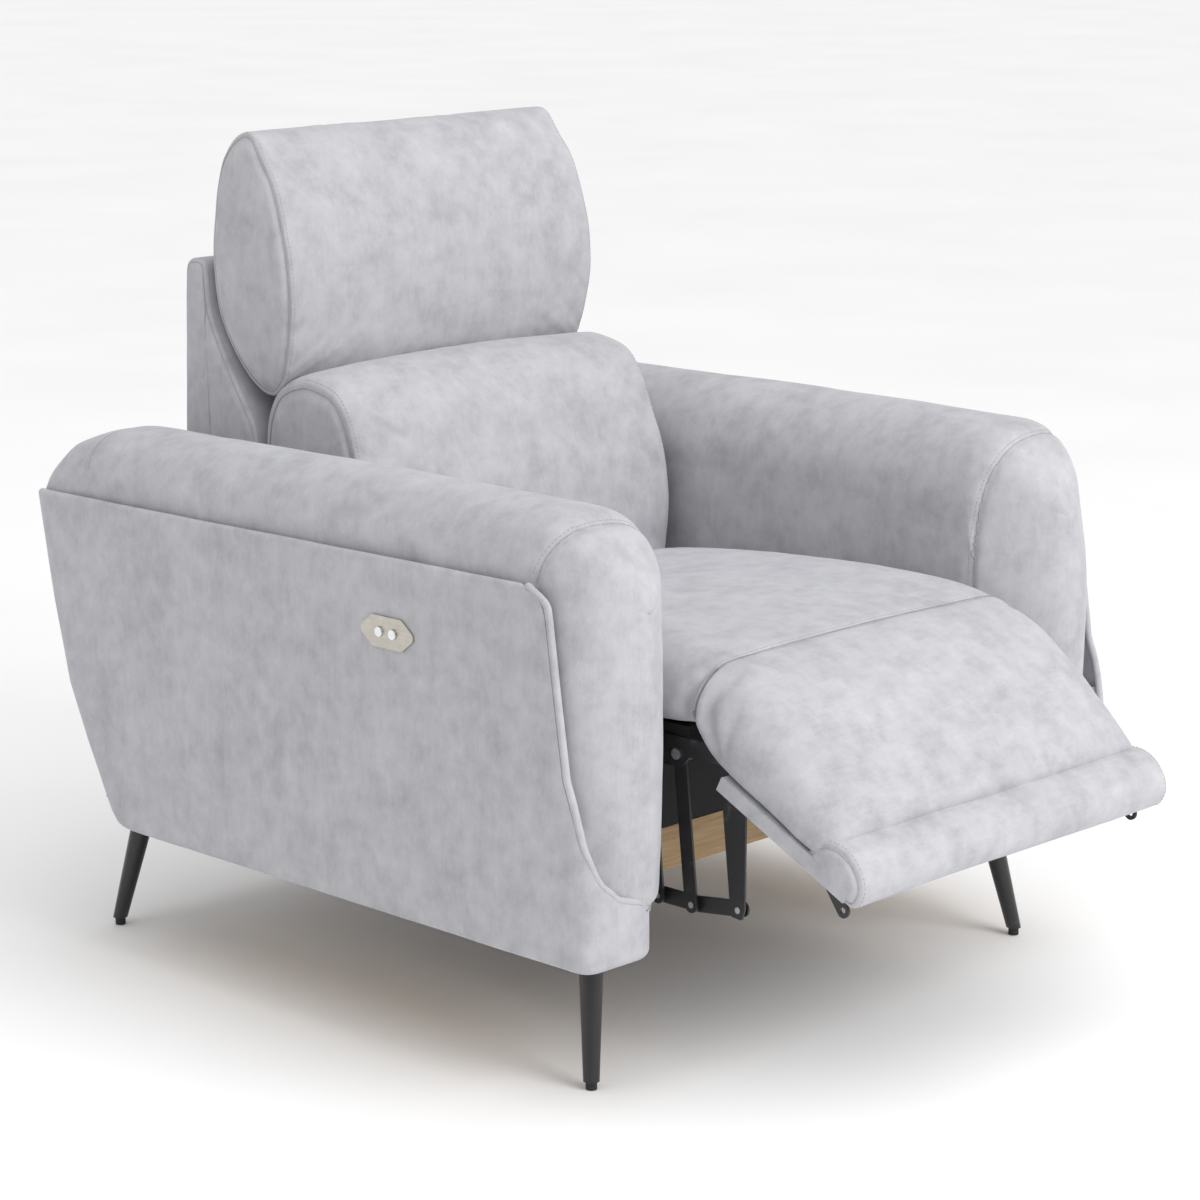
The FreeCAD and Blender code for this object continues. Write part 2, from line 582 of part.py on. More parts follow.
lumbar_front = "(hy - lumbar_ahead)"
keep(outline("lumbar_cushion",
             [(lumbar_front, "hz + lumbar_low"), (f"{lumbar_front} + 45", "hz + lumbar_low + 232"),
              (f"{lumbar_front} + 80", "hz + lumbar_high - 8"), (f"{lumbar_front} + 115", "hz + lumbar_high"),
              (f"{lumbar_front} + 168", "hz + lumbar_high - 34"), (f"{lumbar_front} + 182", "hz + 345"),
              (f"{lumbar_front} + lumbar_thick + 70", "hz + 300"),
              (f"{lumbar_front} + lumbar_thick + 70", "hz + lumbar_low")],
             "-lumbar_half", "2*lumbar_half"))
supports = [strap(f"{side}_headrest_support", mirrored(sign, "headrest_hinge_x"),
                  [("ty", "tz"), (f"{post_y} - 9", "tz - 20")],
                  half="9", pierced=[("ty", "tz")]) for side, sign in sides]
keep(group("headrest_supports", supports))


# ---- headrest ----

arm_top = ("ty + 52", "tz + 92")
board_y = "(ty + 58)"
hinge_in = "(headrest_hinge_x + plate_thick + plate_gap)"
hinges = []
for side, sign in sides:
    arm_strap = strap(f"{side}_headrest_arm", mirrored(sign, hinge_in),
                      [("ty", "tz"), ("ty + 30", "tz + 30"), arm_top], half="9", pierced=[("ty", "tz")])
    pin = rivet(f"{side}_headrest_pin", sign, "ty", "tz", "headrest_hinge_x",
                f"{hinge_in} + plate_thick")
    hinges += [arm_strap, pin]
keep(group("headrest_hinges", hinges))
keep(block("headrest_board", "-(headrest_half - 40)", f"{board_y} + 10", "tz + 60",
           "2*(headrest_half - 40)", "headrest_board_thick", "headrest_high - 100"))
profile = outline("headrest_profile",
                  [("ty - 8", "tz + 12"), ("ty + 5", "tz - 10"), ("ty + 40", "tz - 6"),
                   ("ty + 68", "tz + 16"), ("ty + 98", "tz + 44"), ("ty + 120", "tz + 92"),
                   ("ty + 126", "tz + 160"), ("ty + 112", "tz + 280"), ("ty + 62", "tz + headrest_high"),
                   ("ty + 47", "tz + headrest_high"), ("ty - 4", "tz + 262"), ("ty - 29", "tz + 186"),
                   ("ty - 37", "tz + 122"), ("ty - 30", "tz + 64")],
                  "-headrest_half", "2*headrest_half")
pockets = [block("board_pocket", "-(headrest_half - 40)", f"{board_y} + 10", "tz + 60",
                 "2*(headrest_half - 40)", "headrest_board_thick", "headrest_high - 100")]
for side, sign in sides:
    pockets.append(block(f"{side}_hinge_pocket",
                         mirrored(sign, "headrest_hinge_x - 6", "20"), "ty - 13", "tz - 40", "20",
                         "81", "145"))
keep(cut("headrest_cushion", profile, pockets))


# ---- switch ----

plate_y = "(arm_front + switch_y)"
plate_z = "(leg_height + switch_z)"
plate_x = "(-half)"
face = outline("switch_face",
               [(f"{plate_y} - switch_long/2", plate_z), (f"{plate_y} - switch_long/4", f"{plate_z} - switch_tall/2"),
                (f"{plate_y} + switch_long/4", f"{plate_z} - switch_tall/2"), (f"{plate_y} + switch_long/2", plate_z),
                (f"{plate_y} + switch_long/4", f"{plate_z} + switch_tall/2"),
                (f"{plate_y} - switch_long/4", f"{plate_z} + switch_tall/2")],
               f"{plate_x} - switch_thick", "switch_thick", round_by="8")
button_spots = [(f"{plate_y} - button_pitch/2", plate_z), (f"{plate_y} + button_pitch/2", plate_z)]
keep(cut("switch_plate", face, holes("switch", f"{plate_x} - switch_thick", button_spots,
                                     radius="button_radius + button_clearance", thick="switch_thick")))
keep(block("switch_case", f"{plate_x} + arm_shell_thick + 0.2", f"{plate_y} - 24", f"{plate_z} - 11",
           "22", "48", "22"))
for name, (y, z) in zip(("open_button", "close_button"), button_spots):
    keep(rod(name, "x", f"{plate_x} - switch_thick - button_stand", y, z, "button_radius",
             "button_stand + switch_thick + 6"))
shell = document.getObject("left_arm_shell")
wells = [rod(f"button_well_{index}", "x", f"{plate_x} - 1", y, z, "button_radius + 1", "arm_shell_thick + 2")
         for index, (y, z) in enumerate(button_spots)]
pierced_shell = cut("pierced_shell", shell, wells)
nodes[nodes.index(shell)] = pierced_shell
shell.Label = "left_arm_shell_blank"
pierced_shell.Label = "left_arm_shell"

# ---- checks and export ----

document.recompute()
for item in document.Objects:
    if "Invalid" in item.State or "Error" in item.State:
        raise RuntimeError(f"{item.Label} failed: {item.State}")
os.makedirs("parts", exist_ok=True)
for item in nodes:
    if item.Shape.isNull() or not item.Shape.isValid():
        raise RuntimeError(f"{item.Label} has no valid shape")
    item.Shape.exportStep(f"parts/{item.Label}.step")
whole = FreeCAD.BoundBox()
for item in nodes:
    whole.add(item.Shape.BoundBox)
print(len(nodes), "nodes", whole)
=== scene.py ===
from math import pi, sin, cos, radians, sqrt
import bpy
import numpy as np
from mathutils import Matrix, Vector, noise
from mathutils.bvhtree import BVHTree


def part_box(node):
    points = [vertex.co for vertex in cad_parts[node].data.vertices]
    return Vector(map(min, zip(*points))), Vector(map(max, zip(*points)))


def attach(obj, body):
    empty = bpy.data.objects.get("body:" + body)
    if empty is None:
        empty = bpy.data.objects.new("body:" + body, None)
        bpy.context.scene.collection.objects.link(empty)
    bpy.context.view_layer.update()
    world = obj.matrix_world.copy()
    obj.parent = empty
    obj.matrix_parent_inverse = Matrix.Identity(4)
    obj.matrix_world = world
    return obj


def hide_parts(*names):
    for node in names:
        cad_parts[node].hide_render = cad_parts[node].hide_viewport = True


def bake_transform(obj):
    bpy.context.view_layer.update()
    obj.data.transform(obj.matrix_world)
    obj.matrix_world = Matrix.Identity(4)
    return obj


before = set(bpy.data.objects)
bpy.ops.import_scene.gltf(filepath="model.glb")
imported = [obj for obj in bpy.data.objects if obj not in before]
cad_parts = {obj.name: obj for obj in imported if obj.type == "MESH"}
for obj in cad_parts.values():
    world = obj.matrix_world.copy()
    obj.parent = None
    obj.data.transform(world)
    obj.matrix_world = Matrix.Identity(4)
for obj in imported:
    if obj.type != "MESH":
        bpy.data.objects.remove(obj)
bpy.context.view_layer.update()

mm = 0.001
print("frame loaded:", len(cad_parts), "nodes")

shellLow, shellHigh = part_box("left_arm_shell")
armFront = shellLow.y
armRear = shellHigh.y
armFoot = shellLow.z
armHalf = -shellLow.x
datum = armFront + 0.515  # side outlines are measured from this line across the chair, and up from the floor


# lines and grids

def smoothLine(points, count, closed=False):
    # an even walk of count points along a smooth curve through the given ones
    pts = np.array(points, float)
    total = len(pts)
    fine = []
    spans = total if closed else total - 1
    for index in range(spans):
        if closed:
            a, b, c, d = (pts[(index + step) % total] for step in (-1, 0, 1, 2))
        else:
            a, b, c, d = (pts[min(max(index + step, 0), total - 1)] for step in (-1, 0, 1, 2))
        for step in range(16):
            t = step / 16
            fine.append(0.5 * (2 * b + (c - a) * t + (2 * a - 5 * b + 4 * c - d) * t * t
                               + (3 * b - a - 3 * c + d) * t ** 3))
    fine.append(pts[0] if closed else pts[-1])
    fine = np.array(fine)
    walked = np.concatenate([[0], np.cumsum(np.linalg.norm(np.diff(fine, axis=0), axis=1))])
    stops = np.linspace(0, walked[-1], count + 1 if closed else count)
    if closed:
        stops = stops[:-1]
    return np.stack([np.interp(stops, walked, fine[:, axis]) for axis in range(fine.shape[1])], axis=1)


def outward(loop):
    # unit normals of a closed flat loop, pointing away from its middle
    ahead = np.roll(loop, -1, axis=0) - np.roll(loop, 1, axis=0)
    ahead /= np.linalg.norm(ahead, axis=1)[:, None] + 1e-12
    side = np.stack([ahead[:, 1], -ahead[:, 0]], axis=1)
    area = np.sum(loop[:, 0] * np.roll(loop[:, 1], -1) - np.roll(loop[:, 0], -1) * loop[:, 1])
    return side if area > 0 else -side


def newPiece(name, verts, faces):
    mesh = bpy.data.meshes.new(name)
    mesh.from_pydata([tuple(v) for v in verts], [], faces)
    mesh.update()
    piece = bpy.data.objects.new(name, mesh)
    bpy.context.scene.collection.objects.link(piece)
    return piece


def gridFaces(rowCount, colCount, closedCols=False, start=0):
    faces = []
    last = colCount if closedCols else colCount - 1
    for row in range(rowCount - 1):
        for col in range(last):
            nextCol = (col + 1) % colCount
            faces.append((start + row * colCount + col, start + row * colCount + nextCol,
                          start + (row + 1) * colCount + nextCol, start + (row + 1) * colCount + col))
    return faces


def onlySelect(piece):
    bpy.ops.object.select_all(action="DESELECT")
    piece.select_set(True)
    bpy.context.view_layer.objects.active = piece


def tidy(piece, smooth=50, merge=0.00005):
    onlySelect(piece)
    bpy.ops.object.mode_set(mode="EDIT")
    bpy.ops.mesh.select_all(action="SELECT")
    bpy.ops.mesh.remove_doubles(threshold=merge)
    bpy.ops.mesh.normals_make_consistent(inside=False)
    bpy.ops.object.mode_set(mode="OBJECT")
    bpy.ops.object.shade_smooth_by_angle(angle=radians(smooth))
    return piece


def applied(piece, kind, **settings):
    onlySelect(piece)
    modifier = piece.modifiers.new(kind.title(), kind)
    for key, value in settings.items():
        setattr(modifier, key, value)
    bpy.ops.object.modifier_apply(modifier=modifier.name)
    return piece


def points(piece):
    co = np.zeros(len(piece.data.vertices) * 3)
    piece.data.vertices.foreach_get("co", co)
    return co.reshape(-1, 3)


def setPoints(piece, co):
    piece.data.vertices.foreach_set("co", np.ascontiguousarray(co, float).ravel())
    piece.data.update()


def normals(piece):
    no = np.zeros(len(piece.data.vertices) * 3)
    piece.data.vertex_normals.foreach_get("vector", no)
    return no.reshape(-1, 3)


# soft forms

def loftPad(name, profileAt, half, stations, around, endBulge, endRings=9, endPull=0.004):
    # a closed pad: a band whose (y, z) outline is profileAt(x share), closed by a bulging panel at each end
    verts = []
    shares = np.sin(np.linspace(-1, 1, stations) * pi / 2 * 0.82) / sin(pi / 2 * 0.82)
    loops = []
    for share in shares:
        loop = smoothLine(profileAt(share), around, closed=True)
        widths = half(share, loop)
        loops.append((loop, widths))
        verts += [(w, p[0], p[1]) for w, p in zip(widths, loop)]
    faces = gridFaces(stations, around, closedCols=True)
    for end, (loop, widths) in ((-1, loops[0]), (1, loops[-1])):
        centre = loop.mean(axis=0)
        ring = 0 if end < 0 else (stations - 1) * around
        for index in range(1, endRings + 1):
            t = index / endRings
            out = endBulge * (1 - (1 - t) ** 2.2) - endPull * (1 - t) * t
            start = len(verts)
            if index == endRings:
                verts.append((widths.mean() + end * endBulge, centre[0], centre[1]))
                for col in range(around):
                    nextCol = (col + 1) % around
                    faces.append((ring + col, ring + nextCol, start))
                break
            for width, p in zip(widths, loop):
                q = p + (centre - p) * t
                verts.append((width + (widths.mean() - width) * t + end * out, q[0], q[1]))
            for col in range(around):
                nextCol = (col + 1) % around
                faces.append((ring + col, ring + nextCol, start + nextCol, start + col))
            ring = start
    return tidy(newPiece(name, verts, faces))


clothFacts = {"quality": 5, "mass": 0.4, "use_pressure": True, "tension_stiffness": 15,
              "compression_stiffness": 15, "shear_stiffness": 8, "bending_stiffness": 2,
              "vertex_group_mass": "seams"}


def puff(piece, pins, pressure, cap, frames=9):
    # inflate a pad by cloth simulation with its seams held, then cap how far it moved
    before = points(piece)
    group = piece.vertex_groups.new(name="seams")
    held = np.nonzero(pins(before))[0]
    group.add([int(index) for index in held], 1.0, "REPLACE")
    onlySelect(piece)
    cloth = piece.modifiers.new("Cloth", "CLOTH")
    for key, value in clothFacts.items():
        setattr(cloth.settings, key, value)
    cloth.settings.uniform_pressure_force = pressure
    cloth.settings.effector_weights.gravity = 0
    cloth.collision_settings.use_collision = False
    cloth.collision_settings.use_self_collision = False
    for index in range(1, frames + 1):
        bpy.context.scene.frame_set(index)
    bpy.ops.object.modifier_apply(modifier=cloth.name)
    bpy.context.scene.frame_set(1)
    after = points(piece)
    move = after - before
    far = np.linalg.norm(move, axis=1)
    move *= (np.minimum(far, cap) / np.maximum(far, 1e-9))[:, None]
    setPoints(piece, before + move)
    piece.vertex_groups.clear()
    print(piece.name, "inflated, moved up to", round(float(far.max()) * 1000, 1), "mm")
    return piece


def nearLine(co, line):
    # distance from each point to a polyline
    line = np.array(line, float)
    best = np.full(len(co), 1e9)
    for a, b in zip(line[:-1], line[1:]):
        step = b - a
        t = np.clip(((co - a) @ step) / max(step @ step, 1e-12), 0, 1)
        best = np.minimum(best, np.linalg.norm(co - (a + t[:, None] * step), axis=1))
    return best


def nearest(co, lines):
    return np.min([nearLine(co, line) for line in lines], axis=0)


def groove(piece, lines, depth, width):
    # press a seam line into the cloth
    co = points(piece)
    dip = depth * np.exp(-(nearest(co, lines) / (width * 0.5)) ** 2)
    setPoints(piece, co - normals(piece) * dip[:, None])
    return piece


def soften(piece, seed, size=0.11, amount=0.0016, fine=0.0005):
    # the slight unevenness that stuffed cloth keeps
    co = points(piece)
    no = normals(piece)
    shift = np.array([amount * noise.noise(Vector(p) / size + Vector((seed, 0, 0)))
                      + fine * noise.noise(Vector(p) / (size * 0.27) + Vector((0, seed, 0))) for p in co])
    setPoints(piece, co + no * shift[:, None])
    return piece


def surfaceLine(piece, line, lift=0.0):
    # the same line laid on the piece's surface, with the surface's normals
    tree = BVHTree.FromObject(piece, bpy.context.evaluated_depsgraph_get())
    laid, ups = [], []
    for p in line:
        spot, normal, _, _ = tree.find_nearest(Vector(p))
        laid.append(np.array(spot + normal * lift))
        ups.append(np.array(normal))
    return np.array(laid), np.array(ups)


def tube(name, line, radius, sides=10):
    # a round cord of cloth along a line
    line = np.array(line, float)
    count = len(line)
    verts = []
    up = np.array((0.0, 0.0, 1.0))
    for index in range(count):
        ahead = line[min(index + 1, count - 1)] - line[max(index - 1, 0)]
        ahead /= np.linalg.norm(ahead) + 1e-12
        across = np.cross(ahead, up)
        if np.linalg.norm(across) < 0.2:
            across = np.cross(ahead, (1.0, 0.0, 0.0))
        across /= np.linalg.norm(across)
        up = np.cross(across, ahead)
        for side in range(sides):
            turn = 2 * pi * side / sides
            verts.append(line[index] + radius * (cos(turn) * across + sin(turn) * up))
    faces = gridFaces(count, sides, closedCols=True)
    faces.append(tuple(range(sides))[::-1])
    faces.append(tuple((count - 1) * sides + side for side in range(sides)))
    return tidy(newPiece(name, verts, faces), smooth=60)


# the thread down in each seam is a dark line that paints the seam's shade
threadFacts = {"pitch": 0.0058, "long": 0.0036, "radius": 0.00055, "lift": 0.0001, "seamShadeThread": 0.0008,
               "sides": 5}


def stitches(name, piece, lines, seams):
    # a row of short threads lying on the piece along each line, and the closing thread down in each seam, a
    # dark line that paints the shade in the seam groove
    pitch, long, radius, lift, seamShadeThread, sides = threadFacts.values()
    verts, faces = [], []
    for line in lines:
        walked = np.concatenate([[0], np.cumsum(np.linalg.norm(np.diff(line, axis=0), axis=1))])
        stops = np.arange(pitch, walked[-1] - pitch, pitch)
        mids = np.stack([np.interp(stops, walked, np.array(line)[:, axis]) for axis in range(3)], axis=1)
        laid, ups = surfaceLine(piece, mids, lift)
        for index in range(1, len(laid) - 1):
            ahead = laid[index + 1] - laid[index - 1]
            ahead /= np.linalg.norm(ahead) + 1e-12
            across = np.cross(ahead, ups[index])
            across /= np.linalg.norm(across) + 1e-12
            start = len(verts)
            for share, swell in ((-0.5, 0.35), (-0.3, 1.0), (0.3, 1.0), (0.5, 0.35)):
                for side in range(sides):
                    turn = 2 * pi * side / sides
                    verts.append(laid[index] + ahead * long * share
                                 + radius * swell * (cos(turn) * across + sin(turn) * ups[index]))
            faces += gridFaces(4, sides, closedCols=True, start=start)
            faces.append(tuple(start + side for side in range(sides))[::-1])
            faces.append(tuple(start + 3 * sides + side for side in range(sides)))
    rows = newPiece(name, verts, faces)
    tidy(rows, smooth=60, merge=0.000001)
    # painted shade: the thread down in each seam darkens the seam groove
    seamShadeThreads = [tube(name + "_seam", surfaceLine(piece, seam)[0], seamShadeThread, sides=6) for seam in seams]
    onlySelect(rows)
    for run in seamShadeThreads:
        run.select_set(True)
    bpy.ops.object.join()
    return rows


# places

def outline(pairs):
    return [(datum + y * mm, z * mm) for y, z in pairs]


def crownAt(share, loop, amount):
    # a stuffed band stands out most at its middle
    return loop + outward(loop) * amount * (1 - abs(share) ** 2.4)


# headrest

headrest = {
    "front": [(322, 1077), (295, 1044), (270, 1008), (246, 933), (239, 869), (245, 816), (256, 774)],
    "rear": [(268, 752), (288, 736), (310, 738), (338, 756), (368, 792), (391, 842), (399, 905), (396, 959),
             (388, 1022), (375, 1051), (352, 1073)],
    "half": 281, "crown": 6, "edge": 9, "panelBulge": 12, "stations": 75, "around": 170, "dip": 4.32,
}
lumbar = {
    "front": [(236, 768), (203, 769), (160, 757), (131, 723), (111, 672), (91, 618), (81, 549), (84, 485),
              (92, 448)],
    "rear": [(150, 441), (230, 441), (296, 446), (306, 500), (307, 590), (306, 676), (298, 717), (277, 750)],
    "half": 281, "crown": 8, "edge": 26, "panelBulge": 7, "stations": 75, "around": 170, "dip": 4.32,
}
backPanel = {
    "front": [(412, 902), (408, 884), (402, 838), (376, 787), (348, 742), (322, 704), (312, 670), (310, 560),
              (310, 470), (314, 402)],
    "rear": [(322, 392), (380, 391), (450, 392), (461, 402), (463, 500), (461, 640), (456, 780), (450, 885),
             (444, 902), (428, 906)],
    "half": 285, "crown": 3, "edge": 6, "panelBulge": 3, "stations": 51, "around": 170, "dip": 2.43,
}


def dCushion(name, facts, body, node, taper=0.0, pressure=4, cap=0.006, stitchGap=0.007):
    # a stuffed band with a D-shaped panel closing each end, seamed all round
    base = np.array(outline(facts["front"] + facts["rear"]))
    half, edge = facts["half"] * mm, facts["edge"] * mm
    low, high = base[:, 1].min(), base[:, 1].max()

    def profileAt(share):
        loop = crownAt(share, base, facts["crown"] * mm)
        near = max(0.0, (abs(share) * half - (half - edge)) / edge)
        inset = edge * 0.62 * (1 - sqrt(max(0.0, 1 - near ** 2)))
        return loop - outward(loop) * inset

    def widthAt(share, loop):
        level = (loop[:, 1] - low) / (high - low)
        return share * (half - taper * (2 * level - 1) ** 2)

    def ringAt(share):
        loop = smoothLine(profileAt(share), 160, closed=True)
        ring = np.stack([widthAt(share, loop), loop[:, 0], loop[:, 1]], axis=1)
        return np.vstack([ring, ring[:1]])

    piece = loftPad(name, profileAt, widthAt, facts["stations"], facts["around"], facts["panelBulge"] * mm)
    seams = [ringAt(end) for end in (-1, 1)]
    puff(piece, lambda co: nearest(co, seams) < 0.005, pressure, cap)
    soften(piece, seed=len(name), amount=0.0013)
    applied(piece, "SUBSURF", levels=1, render_levels=1, use_limit_surface=False)
    groove(piece, seams, depth=facts["dip"] * mm, width=0.0085)
    bpy.ops.object.shade_smooth()
    beside = [ringAt(end * (1 - stitchGap / half)) for end in (-1, 1)]
    rows = stitches(name + "_stitching", piece, beside, seams)
    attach(piece, body)
    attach(rows, body)
    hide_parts(node)
    return piece, rows


headPad, headRows = dCushion("headrest_cover", headrest, "headrest", "headrest_cushion", taper=0.008)
lumbarPad, lumbarRows = dCushion("lumbar_cover", lumbar, "back", "lumbar_cushion", taper=0.004)
backPad, backRows = dCushion("back_cover", backPanel, "back", "back_panel", cap=0.004, pressure=2)
print("back and headrest covers done")


# seat and leg pad

seat = {
    "half": 300, "shoulder": 62, "under": 14, "around": 150,
    "stations": [((112, 470), (112, 434)), ((104, 474), (106, 433)), ((60, 482), (60, 433)),
                 ((-40, 497), (-40, 433)), ((-140, 508), (-140, 433)), ((-260, 516), (-260, 433)),
                 ((-360, 519), (-360, 433)), ((-430, 518), (-430, 434)), ((-470, 514), (-468, 436)),
                 ((-500, 508), (-492, 440))],
    "rows": 96,
}
legPad = {
    "half": 300, "shoulder": 64, "under": 16, "around": 150,
    "stations": [((-500, 508), (-492, 440)), ((-523, 502), (-502, 424)), ((-548, 492), (-513, 408)),
                 ((-572, 480), (-530, 392)), ((-605, 457), (-558, 376)), ((-637, 432), (-588, 361)),
                 ((-664, 407), (-615, 348)), ((-686, 382), (-640, 335)), ((-702, 360), (-660, 325)),
                 ((-711, 344), (-676, 318)), ((-709, 333), (-688, 314))],
    "rows": 64,
}


def acrossLoop(half, tall, shoulder, under, crown, count):
    # one section across a seat: flat below, with rolled shoulders, as (x, share of the height)
    top = min(shoulder, tall * 0.84)
    low = min(under, tall * 0.15)
    line = []
    steps = 9
    for step in range(steps + 1):
        turn = pi / 2 * step / steps
        line.append((half - low + low * sin(turn), low - low * cos(turn)))
    for step in range(steps + 1):
        turn = pi / 2 * step / steps
        line.append((half - top + top * cos(turn), tall - top + top * sin(turn)))
    for share in np.linspace(0.92, 0, 12)[:-1]:
        line.append(((half - top) * share, tall))
    line = line + [(0.0, tall)] + [(-x, h) for x, h in reversed(line)]
    line += [((half - low) * share, 0.0) for share in np.linspace(-0.96, 0.96, 15)]
    line = [(x, h + crown * (h / tall) * (1 - (x / half) ** 2)) for x, h in line]
    return smoothLine(line, count, closed=True) / np.array([1, tall])


seatCrown = 0.006


def seatForm(name, facts):
    # a cushion lofted along its stations, closed by a stepped cap at each end
    half, shoulder, under = (facts[key] * mm for key in ("half", "shoulder", "under"))
    tops = smoothLine(outline([pair[0] for pair in facts["stations"]]), facts["rows"])
    lows = smoothLine(outline([pair[1] for pair in facts["stations"]]), facts["rows"])
    around = facts["around"]
    verts = []
    for top, low in zip(tops, lows):
        tall = float(np.linalg.norm(top - low))
        loop = acrossLoop(half, tall, shoulder, under, seatCrown, around)
        for x, share in loop:
            spot = low + (top - low) * share
            verts.append((x, spot[0], spot[1]))
    faces = gridFaces(facts["rows"], around, closedCols=True)
    for row in (0, facts["rows"] - 1):
        ring = list(range(row * around, (row + 1) * around))
        pts = np.array([verts[i] for i in ring])
        spine = pts.copy()
        spine[:, 0] *= 0.9
        spine[:, 1:] = pts[:, 1:].mean(axis=0)
        last = ring
        for t in (0.12, 0.3, 0.55, 0.8, 0.97):
            start = len(verts)
            verts.extend([tuple(v) for v in pts + (spine - pts) * t])
            new = list(range(start, start + around))
            faces += [(last[i], last[(i + 1) % around], new[(i + 1) % around], new[i]) for i in range(around)]
            last = new
        faces.append(tuple(last))
    return tidy(newPiece(name, verts, faces), smooth=70)


def seamAcross(facts, row):
    # the section line of a seat form at one of its ends
    top, low = (np.array(outline([facts["stations"][row][k]])[0]) for k in (0, 1))
    tall = float(np.linalg.norm(top - low))
    half, shoulder, under = (facts[key] * mm for key in ("half", "shoulder", "under"))
    loop = acrossLoop(half, tall, shoulder, under, seatCrown, 260)
    line = np.array([(x, *(low + (top - low) * share)) for x, share in loop])
    line = line[np.argsort(line[:, 0])]
    return line[line[:, 2] > low[1] + 0.004]


seatPad = seatForm("seat_cover", seat)
frontSeam = seamAcross(seat, -1)
frontY = datum - 0.500
puff(seatPad, lambda co: (co[:, 1] < frontY + 0.010) | (co[:, 1] > datum + 0.095) | (co[:, 2] < 0.4345),
     pressure=3, cap=0.006)
legCover = seatForm("leg_pad_cover", legPad)
puff(legCover, lambda co: (nearLine(co, frontSeam) < 0.006) | (co[:, 1] > frontY - 0.002)
     | (co[:, 1] < datum - 0.700) & (co[:, 2] < 0.335), pressure=3.5, cap=0.008)
soften(seatPad, 3, size=0.14, amount=0.0018)
soften(legCover, 5, size=0.13, amount=0.0020)
groove(seatPad, [frontSeam], depth=0.0028, width=0.010)
groove(legCover, [frontSeam], depth=0.0028, width=0.010)
creases = [  # piece, depth, width, then its line in mm as (x, y from the front seam, z)
    (seatPad, 8, 20, [(272, 10, 497), (286, 20, 480), (299, 26, 455)]),
    (legCover, 8, 18, [(262, -24, 488), (285, -14, 470), (298, -10, 450)]),
    (legCover, 6, 12, [(299, -16, 449), (302, -24, 428), (302, -30, 408)]),
    (legCover, 4, 16, [(285, -50, 452), (300, -45, 425), (303, -42, 400)]),
]
for sign in (-1, 1):
    for piece, depth, width, line in creases:
        crease = [(sign * x * mm, frontY + y * mm, z * mm) for x, y, z in line]
        groove(piece, [crease], depth * mm, width * mm)
for piece in (seatPad, legCover):
    applied(piece, "SUBSURF", levels=1, render_levels=1, use_limit_surface=False)
    bpy.ops.object.shade_smooth()
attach(seatPad, "seat")
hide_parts("seat_cushion")
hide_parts("leg_pad")
seamRows = stitches("seat_stitching", seatPad, [frontSeam + np.array((0, 0.006, 0))], [frontSeam])
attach(seamRows, "seat")
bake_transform(legCover)
print("seat and leg pad done")


# bolster

bolster = {
    "front": [(-676, 326), (-690, 336), (-712, 338), (-733, 329), (-748, 311), (-753, 293), (-748, 277),
              (-738, 268)],
    "rear": [(-724, 272), (-700, 284), (-678, 296), (-664, 304), (-664, 316)],
    "half": 299, "crown": 2, "edge": 8, "panelBulge": 4, "stations": 69, "around": 110, "dip": 2.97,
}
rollPad, rollRows = dCushion("bolster_cover", bolster, "footrest", "footrest_bolster", cap=0.004,
                             pressure=3)
print("bolster done")


# arms

arm = {
    "rear": [(179, 356), (185, 368), (195, 380), (216, 391), (285, 427), (361, 462), (478, 492), (597, 514),
             (614, 517), (640, 520)],
    "welt": [(237, 103), (247, 96), (259, 55), (286, 21), (333, -11), (410, -40), (501, -54), (570, -64),
             (598, -68), (612, -72), (621, -78), (627, -87), (630, -99)],
    "topRear": 614, "topFront": 630, "wall": 3, "round": 9, "ledge": 237, "cornerRound": 15, "edgeRoll": 5,
}
pad = {
    "section": [(303, 194), (303, 300), (303, 450), (303, 560), (305, 612), (312, 646), (328, 676),
                (353, 695), (385, 704), (420, 705), (450, 700), (470, 685), (481, 662), (485, 634),
                (487, 600), (488, 400), (488, 194)],
    "top": [(-515, 705), (-392, 705), (0, 704), (260, 699), (360, 699), (405, 697), (440, 688), (474, 677),
            (499, 654), (509, 630), (512, 606)],
    "spine": (396, 243, 592), "crest": 705, "knee": 560, "rearGap": 11, "rearBulge": 4, "around": 190,
    "noseStart": -428, "noseTop": 26, "noseFront": -513, "belly": 9, "swell": 9,
    "frontSeam": [(303, 240, -432), (300, 400, -431), (296, 503, -431), (300, 576, -434), (313, 635, -440),
                  (340, 670, -446), (377, 684, -447), (422, 688, -445), (461, 676, -436), (483, 650, -424),
                  (486, 628, -417)],
    "rearSeam": [(303, 420, 408), (303, 560, 410), (312, 640, 412), (340, 682, 414), (385, 696, 416),
                 (430, 696, 416), (465, 682, 416), (484, 650, 416)],
}


def bentPath(corners, radii, s):
    # the point at distance s along a path whose corners are rounded
    walked = 0.0
    for index in range(len(corners) - 1):
        a, b = np.array(corners[index]), np.array(corners[index + 1])
        long = float(np.linalg.norm(b - a))
        if s <= walked + long or index == len(corners) - 2:
            break
        walked += long
    along = s - walked
    spot = a + (b - a) / long * along
    for corner, gap in ((index, along), (index + 1, along - long)):
        radius = radii[corner]
        if radius and abs(gap) < radius:
            before, here, after = (np.array(corners[corner + step]) for step in (-1, 0, 1))
            start = here + (before - here) / np.linalg.norm(before - here) * radius
            end = here + (after - here) / np.linalg.norm(after - here) * radius
            t = (gap + radius) / (2 * radius)
            spot = (1 - t) ** 2 * start + 2 * t * (1 - t) * here + t * t * end
    return spot


def rearLine(z):
    return datum + np.interp(z, *zip(*arm["rear"])) * mm


